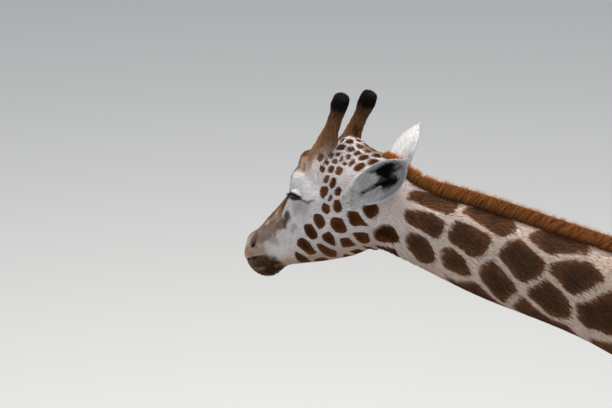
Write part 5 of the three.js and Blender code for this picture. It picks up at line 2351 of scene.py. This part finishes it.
@dataclass
class Ossicones:
    """The two horns: fawn hair up the shaft, and a black brush round each knob."""

    skin: Skin
    markings: Markings
    hide: Material
    rows: int = 110
    columns: int = 52
    tufts: int = 3600  # on each shaft
    brush_hairs: int = 1500  # round each knob

    def build(self, dark: Material) -> None:
        """Both horns, their short hair and their brushes.

        Args:
            dark: the brushes' finish.
        """
        coats, brushes = [], []
        for name, side in SIDES:
            verts, faces, table, ways = self.horn(side)
            marks = self.marks(verts, table)
            node = f"ossicone_{name}"
            piece(node, (verts, faces), marks.stored(), self.hide, "ossicone", node)
            coats.append(self.short_hair(verts, table, ways, marks, side))
            brushes.append(self.brush(side))
        hairs, marks = zip(*coats)
        joined(hairs).coat("coat_ossicones", joined(marks), self.hide, "ossicone")
        hairs, shades = zip(*brushes)
        joined(hairs).piece("ossicone_brushes", dark, "hair_dark", np.concatenate(shades))

    def horn(self, side: int) -> tuple[Array, Faces, Array, Array]:
        """A horn's rings: a round tube whose radius is knobbly, flared at the foot and rough at the knob.

        Args:
            side: 1 for the left, -1 for the right.

        Returns:
            Vertices, faces, each vertex's station and turn, and the hair's way.
        """
        middles = on_head(OSSICONE[:, :3], side)
        tube = Tube(middles, OSSICONE[:, 3], self.rows, self.columns)
        points, middle, u = tube.rings(-1.5)
        out = unit(points - middle[:, None])
        t = u * (len(OSSICONE) - 1)
        knobs = 1.6 * speckle(points, 26, 31) + 0.7 * speckle(points, 9, 32)
        ridges = 1.5 * np.sin(circle(self.columns) * 5)[None] * smooth(5, 2, t)[:, None]
        points = points + out * (knobs + ridges)[..., None]
        tip = middle[-1] + unit(middle[-1] - middle[-2]) * 5
        verts, faces = capped(points, (middle[0], tip))
        table = np.concatenate([np.repeat(t, self.columns), [0, t[-1]]])
        angle = np.tile(circle(self.columns), self.rows)
        turn = np.concatenate([np.minimum(angle, 2 * np.pi - angle), [0, 0]])
        flow = np.gradient(points, axis=0).reshape(-1, 3)
        ways = unit(np.concatenate([flow, flow[:1], flow[-1:]]))
        return verts, faces, np.stack([table, turn], 1), ways

    def marks(self, verts: Array, table: Array) -> Marks:
        """Fawn brown darkening upwards to black round the knob, pale between the spots at the foot.

        Args:
            verts: the vertices.
            table: their stations and turns.

        Returns:
            The marks.
        """
        t, turn = table.T
        edge, tone = self.markings.spots.edges(verts)
        place = to_head(verts)
        wave = 0.25 * speckle(verts * [1, 1, 0.4], 9, 33)
        shaft = graded(
            t + wave, [0, 2.6, 3.6, 4.6, 5.4, 6.0],
            (0.32, 0.28, 0.24, 0.18, 0.09, 0.005),
            (0.19, 0.155, 0.122, 0.088, 0.043, 0.004),
            (0.11, 0.084, 0.062, 0.043, 0.020, 0.003),
        )
        grey = smooth(1.2, 2.4, t)[:, None]
        foot = Paint.dabbed(blend(np.array([0.67, 0.61, 0.60]), np.array([0.46, 0.38, 0.34]), grey), place)
        grain = speckle(np.stack([turn * 60, t * 16, 0 * t], 1), 9, 34)
        ahead = smooth(-14, 16, place[:, 0] - np.interp(t, range(9), OSSICONE[:, 0]))
        low = smooth(3.7 - 1.9 * ahead, 1.5 - 1.5 * ahead, t + 0.22 * grain + 0.2 * wave)[:, None]
        shaft = blend(shaft, foot, low)
        lie = np.stack([t * 36, turn * 26, 0 * t + 400], 1) * MM
        return Marks(edge * MM, tone, np.full(len(t), 1.6 * MM), np.clip(shaft, 0, 1), lie)

    def short_hair(
        self, verts: Array, table: Array, ways: Array, marks: Marks, side: int,
    ) -> tuple[Strands, Marks]:
        """Short tufts that climb the shaft.

        Args:
            verts: the horn's vertices.
            table: their stations and turns.
            ways: the hair's way.
            marks: their marks.
            side: 1 or -1.

        Returns:
            The tufts and one mark each.
        """
        rng = np.random.default_rng(SEED + 60 + side)
        count = self.tufts
        row, col = rng.uniform(0.02, 0.66, count), rng.integers(0, self.columns, count)
        pick = (row * self.rows).astype(int) * self.columns + col
        middle = on_head(through(OSSICONE, table[pick, 0])[:, :3], side)
        normal = unit(verts[pick] - middle)
        ahead = unit(ways[pick] + np.cross(normal, ways[pick]) * rng.normal(0, 0.14, count)[:, None])
        normal = square(normal, ahead)
        root = verts[pick] + ahead * rng.uniform(-2, 2, count)[:, None]
        length = rng.uniform(8, 14, count)
        hairs = bent(root, ahead, normal, length, rng.uniform(1.0, 1.7, count), np.array([-0.6, 0.9, 1.3]),
                     rng.normal(0, 0.8, count), np.stack([col / self.columns, row], 1), (1.0, 0.8))
        own = marks.at(pick)
        own.ground = np.clip(own.ground * rng.uniform(0.75, 1.25, count)[:, None], 0, 1)
        return hairs, own

    def brush(self, side: int) -> tuple[Strands, Array]:
        """The black hair round a knob: it leaves the surface along the horn and folds over the flat top.

        Args:
            side: 1 for the left, -1 for the right.

        Returns:
            The hairs and one shade each.
        """
        rng = np.random.default_rng(SEED + 70 + side)
        count = self.brush_hairs
        t = rng.uniform(5.5, 7.8, count)
        station = through(OSSICONE, t)
        middle = on_head(station[:, :3], side)
        later = on_head(through(OSSICONE, np.minimum(t + 0.15, 8))[:, :3], side)
        onward = unit(later - middle + 1e-6)
        angle = rng.uniform(0, 2 * np.pi, count)
        first = unit(np.cross(onward, [0.3, 1, 0.2]))
        out = first * np.cos(angle)[:, None] + np.cross(onward, first) * np.sin(angle)[:, None]
        root = middle + out * (station[:, 3:] - 5)
        top = smooth(6.6, 7.9, t)[:, None]
        outwards = 0.28 - 0.5 * top + rng.normal(0, 0.12, count)[:, None]
        ahead = unit(onward * (1 - 0.55 * top) + out * outwards
                     + np.cross(onward, out) * rng.normal(0, 0.3, count)[:, None])
        up = square(out, ahead)
        length = rng.uniform(7, 12, count) * (1 - 0.4 * top[:, 0])
        hairs = bent(root, ahead, up, length, rng.uniform(1.2, 2.0, count), np.array([0, 0.8, 0.6, -1.4]),
                     rng.normal(0, 2.4, count), np.stack([angle / 6.4, t / 8], 1), (1.0, 0.85, 0.55))
        return hairs, rng.uniform(0.1, 0.8, count)


@dataclass
class Eyes:
    """Both eyes: the ball, the lids that hood it and the lashes."""

    skin: Skin
    hide: Material
    look: Triple = (0.22, 0.96, 0.10)
    slit: Triple = (0.86, -0.16, 0.48)  # from the back corner to the front one
    half_slit: float = 62.0  # degrees along the slit to each corner
    upper: float = 10.0  # degrees from the slit's line up to the upper lid's margin
    lower: float = 20.0
    upper_lashes: int = 260
    lower_lashes: int = 90

    def frame(self, side: int) -> tuple[Array, Array, Array, Array]:
        """The eye's middle, where it looks, and the ways along and up from its slit.

        Args:
            side: 1 for the left, -1 for the right.

        Returns:
            A point and three unit ways.
        """
        flip = np.array([1, side, 1])
        middle = on_head(EYE_AT, side)
        look = unit(np.array(self.look) * flip @ HEAD_AXES)
        along = square(np.array(self.slit) * flip @ HEAD_AXES, look)
        up = np.cross(look, along) * (1 if side > 0 else -1)
        if up[2] < 0:
            up = -up
        return middle, look, along, up

    def over_ball(self, side: int, reach: Array, a: Array, b: Array) -> Array:
        """Points at a reach from the eye's middle, turned by a along the slit and by b up from it.

        middle + reach * (sin a * along + cos a * sin b * up + cos a * cos b * look).

        Args:
            side: 1 or -1.
            reach: distance in mm.
            a: radians along the slit.
            b: radians up from it.

        Returns:
            The points.
        """
        middle, look, along, up = self.frame(side)
        out = np.sin(a)[..., None] * along + (np.cos(a) * np.sin(b))[..., None] * up
        return middle + np.asarray(reach)[..., None] * (out + (np.cos(a) * np.cos(b))[..., None] * look)

    def ball(self, side: int) -> tuple[Array, Faces, Array]:
        """Rings of a ball round the line of sight, with a slightly steeper cornea.

        Args:
            side: 1 for the left, -1 for the right.

        Returns:
            Vertices, faces, and how far across, up and ahead each vertex is.
        """
        middle, look, along, up = self.frame(side)
        polar = np.linspace(0.04, np.pi - 0.04, 40)[:, None]
        angle = circle(48)[None]
        radius = EYE_RADIUS * (1 + 0.035 * smooth(0.62, 0.2, polar))
        a, b = np.sin(polar) * np.cos(angle), np.sin(polar) * np.sin(angle)
        c = np.cos(polar) + 0 * angle
        verts, faces = capped(middle + sum((radius * part)[..., None] * way for part, way in (
            (a, along), (b, up), (c, look))))
        at = np.stack([a, b, c], -1).reshape(-1, 3)
        at = np.concatenate([at, [[0, 0, 1], [0, 0, -1]]])
        at[:, :2] /= 0.72
        return verts, faces, at

    def lids(self, side: int, tree: BVHTree) -> tuple[Array, Faces, Array]:
        """A ring of skin from the lids' margin out to the face.

        Near the margin it follows a sphere a little larger than the ball, at angles half_slit * cos(phi)
        along and upper or lower * |sin(phi)|^1.3 up, which widen outwards. Further out it eases onto the
        face's skin and dives just under it. It is thickest just behind the margin, and has a fold.

        Args:
            side: 1 for the left, -1 for the right.
            tree: the skin's surface.

        Returns:
            The grid, how far out its rows are, and how far round its columns.
        """
        middle = self.frame(side)[0]
        rows, cols = 26, 96
        r = np.linspace(0, 1, rows)[:, None]
        phi = circle(cols)[None]
        above = np.sin(phi) > 0
        half = np.radians(np.where(above, self.upper, self.lower))
        arch = np.sign(np.sin(phi)) * np.abs(np.sin(phi)) ** 1.3
        a = np.radians(self.half_slit) * np.cos(phi) * (1 + 0.55 * r)
        b = half * arch + np.sin(phi) * r * np.radians(np.where(above, 66, 56))
        thick = 0.5 + 3.2 * smooth(0, 0.16, r) + np.where(above, 1.6, 0.8) * bell((r - 0.34) / 0.1)
        thick = thick - np.where(above, 2.0, 1.2) * bell((r - 0.55) / 0.06)
        flat = self.over_ball(side, EYE_RADIUS + thick, a, b).reshape(-1, 3)
        hits = [tree.find_nearest(p) for p in flat.tolist()]
        face = np.array([h[0] for h in hits])
        normal = np.array([h[1] for h in hits])
        r_flat = np.repeat(r[:, 0], cols)
        share = smooth(0.5, 0.86, r_flat)[:, None]
        rest = face + normal * (1.2 - 4.2 * smooth(0.72, 1.0, r_flat))[:, None]
        outer = blend(flat, rest, share).reshape(rows, cols, 3)
        inner = middle + (outer[:1] - middle) * 0.955
        under = middle + (outer[4:9:4] - middle) * 0.93
        points = np.concatenate([under[::-1], inner, outer])
        return points, r, phi

    def build(self, material: Material, dark: Material) -> None:
        """Balls, lids and lashes on both sides.

        Args:
            material: the balls' finish.
            dark: the lashes' finish.
        """
        surface = self.skin.surface
        tree = surface.tree()
        keys = nearest(surface.verts, np.flatnonzero(from_eyes(surface.verts) < 75))
        lashes = []
        for name, side in SIDES:
            verts, faces, at = self.ball(side)
            piece(f"eye_{name}", (verts, faces), {"eye": at}, material, "eye", f"eye_{name}")
            points, r, phi = self.lids(side, tree)
            rows, cols = points.shape[:2]
            faces = lattice(rows, cols)
            flat = points.reshape(-1, 3)
            outward = flat - self.frame(side)[0]
            if self.faces_inward(flat, faces, outward):
                faces = faces.turned_over()
            rows_of = np.array([keys.find(p)[1] for p in flat.tolist()])
            marks = surface.marks.at(rows_of)
            level = np.repeat(np.r_[0, 0, 0, r[:, 0]], cols)
            turn = np.tile(phi[0], rows)
            rim = smooth(0.10, 0.02, level)[:, None]
            lid = smooth(0.62, 0.3, level)[:, None]
            above = (np.sin(turn) > 0)[:, None]
            tint = np.where(above, np.array([0.60, 0.57, 0.55]), np.array([0.36, 0.33, 0.32]))
            line = (smooth(0.22, 0.08, level) * np.where(np.sin(turn) > 0, 1, 0.8))[:, None]
            ground = blend(blend(marks.ground, tint, 0.7 * lid), np.array([0.045, 0.032, 0.028]), line)
            marks.ground = blend(ground, np.array([0.012, 0.010, 0.010]), rim)
            marks.edge = marks.edge - 0.02 * lid[:, 0]
            piece(f"eyelids_{name}", (flat, faces), marks.stored(), self.hide, "face")
            lashes.append(self.lashes(side))
        hairs, shades = zip(*lashes)
        joined(hairs).piece("lashes", dark, "hair_dark", np.concatenate(shades))

    @staticmethod
    def faces_inward(verts: Array, faces: Faces, outward: Array) -> bool:
        """Whether most faces look towards the middle.

        Args:
            verts: the vertices.
            faces: the faces.
            outward: the way out at each vertex.

        Returns:
            True when they do.
        """
        a, b, c = (verts[faces.corners[faces.starts + k]] for k in (0, 1, 2))
        normal = np.cross(b - a, c - a)
        return float((normal * outward[faces.corners[faces.starts]]).sum()) < 0

    def lashes(self, side: int) -> tuple[Strands, Array]:
        """Long lashes along the upper margin that droop and sweep up at the tip, and short ones below.

        Args:
            side: 1 for the left, -1 for the right.

        Returns:
            The hairs and one shade each.
        """
        rng = np.random.default_rng(SEED + 80 + side)
        middle, look, along, up = self.frame(side)
        phi = np.r_[
            rng.uniform(0.06, np.pi - 0.06, self.upper_lashes),
            rng.uniform(np.pi + 0.3, 2 * np.pi - 0.3, self.lower_lashes),
        ]
        above = phi < np.pi
        half = np.radians(np.where(above, self.upper, self.lower))
        a = np.radians(self.half_slit) * np.cos(phi)
        b = half * np.sign(np.sin(phi)) * np.abs(np.sin(phi)) ** 1.3
        b += np.radians(rng.uniform(0, 5, len(phi))) * np.where(above, 1, -1)
        root = self.over_ball(side, EYE_RADIUS + 2.0, a, b)
        out = unit(root - middle)
        drop = np.where(above, -0.62, -0.75)[:, None] + rng.normal(0, 0.12, len(phi))[:, None]
        ahead = unit(out + up * drop + along * (0.34 * np.cos(phi) + rng.normal(0, 0.12, len(phi)))[:, None])
        rise = unit(up - ahead * (ahead @ up)[:, None] + look * 0.1)
        length = np.where(above, rng.uniform(19, 29, len(phi)), rng.uniform(7, 12, len(phi)))
        length = length * np.interp(np.cos(phi), [-0.2, 0.9], [1.0, 0.35])
        lifts = np.array([0, -0.2, 0.9, 3.4]) * (length / 26)[:, None]
        hairs = bent(root, ahead, rise, length, np.where(above, 1.15, 0.7), lifts,
                     rng.normal(0, 1.5, len(phi)), np.stack([phi / 6.4, 0.5 + 0 * phi], 1))
        return hairs, rng.uniform(0, 0.4, len(phi))


@dataclass
class EarHair:
    """The white fringe along both ears' rims and the darker hair inside, coloured like the cup's inside with
    its painted shade.
    """

    tufts: int = 1300  # at each ear's foot
    leaf_hairs: int = 1800  # along each ear's rim and down its inside

    def tuft(self, ear: Ear, tree: BVHTree, rng: Random) -> Strands:
        """Long white hair from the foot of the cup: roots where lines into the opening meet the skin.

        Args:
            ear: the ear.
            tree: the skin's surface.
            rng: the random draws.

        Returns:
            The hairs.
        """
        base, tipward, facing, across = ear.axes()
        n = self.tufts
        u, x = rng.uniform(-0.3, 0.3, n), rng.uniform(-0.92, 0.92, n)
        x = np.where((u > 0) & (x > 0) & (x < 0.36), x - 0.5, x)
        start = (base + (u * ear.length)[:, None] * tipward + facing * 150
                 + (x * ear.width * np.interp(u, [-0.3, 0, 0.2], [0.4, 0.65, 0.8]))[:, None] * across)
        hits = [tree.ray_cast(p, (-facing).tolist(), 260.0) for p in start.tolist()]
        keep = np.array([h[0] is not None for h in hits])
        root = np.array([h[0] for h in hits if h[0] is not None])
        normal = np.array([h[1] for h in hits if h[0] is not None])
        u, x, n = u[keep], x[keep], int(keep.sum())
        ahead = unit(tipward + normal * rng.uniform(0.12, 0.4, n)[:, None]
                     + across * (0.5 * x + rng.normal(0, 0.12, n))[:, None])
        up = square(normal, ahead)
        length = rng.uniform(16, 38, n) * np.where((x > 0) & (u > -0.1), 0.6, 1.0)
        return bent(root - normal, ahead, up, length, rng.uniform(1.4, 2.4, n), np.array([0, 2.0, 2.6, 0.6]),
                    rng.normal(0, 3.0, n), np.stack([0.5 + 0.45 * x, 0.3 + u], 1))

    def build(self, hide: Material, skin: Skin) -> None:
        """Hairs rooted on the leaf near its edges, and in streaks down the inside.

        Args:
            hide: its finish.
            skin: the skin.
        """
        sets, grounds = [], []
        tree = skin.surface.tree()
        for k, ear in enumerate(EARS):
            rng = np.random.default_rng(SEED + 90 + k)
            sets.append(self.tuft(ear, tree, rng))
            shade = rng.uniform(0.85, 1.12, len(sets[-1].centre))[:, None]
            grounds.append(np.array([0.88, 0.87, 0.86]) * shade)
            count = self.leaf_hairs
            rim = rng.random(count) < 0.5
            u = rng.uniform(0.1, 0.99, count)
            edge = rng.choice([-1, 1], count) * rng.uniform(0.9, 0.995, count)
            part = np.where(rim, edge, rng.uniform(-0.85, 0.85, count))
            u = np.where(rim, u, u * 0.82)
            at = ear.leaf(u, part, np.ones(count))
            ahead_u = unit(ear.leaf(u + 0.01, part, np.ones(count)) - at)
            sign = np.where(part > 0, 1, -1)
            across = unit(ear.leaf(u, part + 0.02, np.ones(count)) - at)
            normal = unit(np.cross(across, ahead_u))
            facing = ear.axes()[2]
            normal *= np.sign(normal @ facing + 1e-9)[:, None]
            ahead = unit(ahead_u + np.where(rim, 0.55 * sign, -0.25 * sign)[:, None] * across
                         + normal * rng.uniform(0.05, 0.4, count)[:, None] + rng.normal(0, 0.1, (count, 3)))
            up = square(normal, ahead)
            length = np.where(rim, rng.uniform(6, 12, count), rng.uniform(12, 26, count))
            lifts = np.array([0, 0.8, 1.8, 1.2])
            sets.append(bent(at - normal * 0.4, ahead, up, length, np.where(rim, 0.9, 1.1), lifts,
                             rng.normal(0, 1.2, count), np.stack([0.5 + 0.45 * part, u], 1)))
            table = np.stack([np.full(count, float(ear.part)), u, part + 4], 1)
            # the inside hairs take the cup's colours, whose black streaks are partly painted shade
            ground = Paint.ears(np.zeros((count, 3)), table[:, 0].astype(int), u, table[:, 2], at)
            ground = np.where(rim[:, None], [0.74, 0.73, 0.73], ground)
            grounds.append(np.clip(ground * rng.uniform(0.8, 1.15, count)[:, None], 0, 1))
        strands = joined(sets)
        verts, faces = strands.arrays()
        ground = strands.spread(np.concatenate(grounds))
        n = len(ground)
        marks = Marks(np.full(n, -0.05), np.ones(n), np.full(n, 0.002), ground, placed(verts))
        piece("ear_hair", (verts, faces), marks.stored(), hide, "ear")


@dataclass
class Hooves:
    """Eight claws, each a flat-soled horn shoe under the coronet."""

    height: float = 112.0
    half_width: float = 34.0
    cleft: float = 4.0
    shape: Array = field(default_factory=lambda: np.array([
        (1.0, 0.80, 64, 50), (0.90, 0.85, 70, 54), (0.72, 0.92, 84, 62), (0.52, 0.97, 98, 67),
        (0.35, 1.0, 112, 72), (0.18, 0.995, 122, 75), (0.07, 0.98, 128, 76), (0.02, 0.95, 126, 74),
        (0.0, 0.9, 121, 70),
    ]))

    def claw(self, forward: float, side: float, inner: int, mirror: int) -> tuple[Array, Faces]:
        """Level rings, flatter on the side towards the cleft, with growth ridges, down to a flat sole.

        Args:
            forward: the foot's middle.
            side: how far out it is.
            inner: -1 for the claw towards the animal, 1 for the other.
            mirror: 1 for the left, -1 for the right.

        Returns:
            The vertices and the faces.
        """
        t = np.linspace(0, len(self.shape) - 1, 42)
        s = through(self.shape, t)
        s[-1] = self.shape[-1]
        angle = circle(48)[None]
        ahead, out = np.cos(angle), np.sin(angle)
        reach = np.where(ahead > 0, s[:, 2:3], s[:, 3:4])
        middle = side + inner * (self.half_width + self.cleft)
        flat = np.where(out * inner < 0, 0.86, 1.0)
        high = s[:, :1]
        ridge = 0.7 * np.sin(high * 62 + ahead * 0.8) * smooth(0.03, 0.12, high) * smooth(1, 0.9, high)
        x = middle + (s[:, 1:2] * self.half_width + ridge) * out * flat
        y = -(forward + (reach + ridge) * ahead * (1 - 0.08 * np.abs(out) ** 4))
        z = np.clip(s[:, :1], 0, 1) * self.height + 0 * angle
        points = np.stack([x * mirror, y, z], -1)
        return capped(points)

    def build(self, horn: Material) -> None:
        """Each claw takes the place of its own solid.

        Args:
            horn: its finish.
        """
        for leg, table in (("fore", FORE_LEG), ("hind", HIND_LEG)):
            for name, mirror in SIDES:
                for which, inner in (("inner", -1), ("outer", 1)):
                    shape = self.claw(table[-1, 1], table[-1, 2], inner, mirror)
                    end = f"{leg}_{name}_{which}"
                    piece(f"claw_{end}", shape, {}, horn, "hoof", f"hoof_{end}")
        self.fringe()

    def fringe(self, count: int = 260) -> None:
        """A skirt of hair round each coronet: roots at middle + reach * (sin a, cos a), falling outward.

        Args:
            count: hairs a foot.
        """
        rng = np.random.default_rng(SEED + 95)
        sets = []
        for table in (FORE_LEG, HIND_LEG):
            for mirror in (1, -1):
                end, angle = table[-1], rng.uniform(0, 2 * np.pi, count)
                reach = np.where(np.cos(angle) > 0, end[4], end[5]) - SKIN_DEPTH
                z = end[0] + rng.uniform(-1, 12, count)
                out = np.stack([np.sin(angle) * mirror, -np.cos(angle), 0 * angle], 1)
                root = np.stack([(end[2] + (end[3] - SKIN_DEPTH) * np.sin(angle)) * mirror,
                                 -(end[1] + reach * np.cos(angle)), z], 1)
                outwards = rng.uniform(0.1, 0.45, count)[:, None]
                ahead = unit(out * outwards + [0, 0, -1] + rng.normal(0, 0.08, (count, 3)))
                length, width = rng.uniform(12, 26, count), rng.uniform(1.8, 3.4, count)
                lifts, uv = np.array([0, 1.2, 1.6, 0.4]), np.stack([angle / 6.4, z / 200], 1)
                up = unit(out + ahead * 0.2)
                sets.append(bent(root, ahead, up, length, width, lifts, rng.normal(0, 1.5, count), uv))
        hair = Hair("fringe_hair", (0.48, 0.38, 0.28, 1), (0.68, 0.58, 0.46, 1), 0.8).material()
        joined(sets).piece("hoof_fringe", hair, "coat", rng.uniform(0.2, 0.9, 4 * count))


# ------------------------------------------------------------------ main
FLESH_NODES = (
    "trunk", "neck_lower", "neck_upper", "head", "ear_left", "ear_right", "fore_leg_left", "fore_leg_right",
    "hind_leg_left", "hind_leg_right", "tail",
)


def build_skin() -> tuple[Skin, Markings, Material]:
    """The skin with its markings and its finish.

    Returns:
        The skin, its markings and its finish.
    """
    skin = Skin()
    markings = Markings(skin)
    surface = skin.surface
    surface.marks = markings.marks(surface.verts, surface.table)
    mesh = skin.object.data
    mesh.vertices.foreach_set("co", placed(surface.verts).astype(np.float32).ravel())
    mesh.update()
    store(skin.object, surface.marks.stored())
    hide = Hide().material()
    dress(skin.object, hide, "coat", *FLESH_NODES)
    return skin, markings, hide


def main() -> None:
    """Builds the studio and then the giraffe, piece by piece."""
    logging.basicConfig(level=logging.INFO)
    studio = Studio()
    studio.camera()
    studio.build()
    skin, markings, hide = build_skin()
    dark = Hair("dark_hair", (0.005, 0.004, 0.004, 1), (0.016, 0.012, 0.010, 1), 0.5).material()
    Ossicones(skin, markings, hide).build(dark)
    Eyes(skin, hide).build(Eyeball().material(), dark)
    # the mane's bright orange tips are partly its own colour and partly painted backlight
    Mane(skin).build(Hair("mane_hair", (0.045, 0.013, 0.003, 1), (0.56, 0.225, 0.066, 1)).material())
    TailTuft().build(dark)
    Hooves().build(Horn().material())
    EarHair().build(hide, skin)
    Coat(skin, hide).build()


if __name__ == "__main__":
    main()
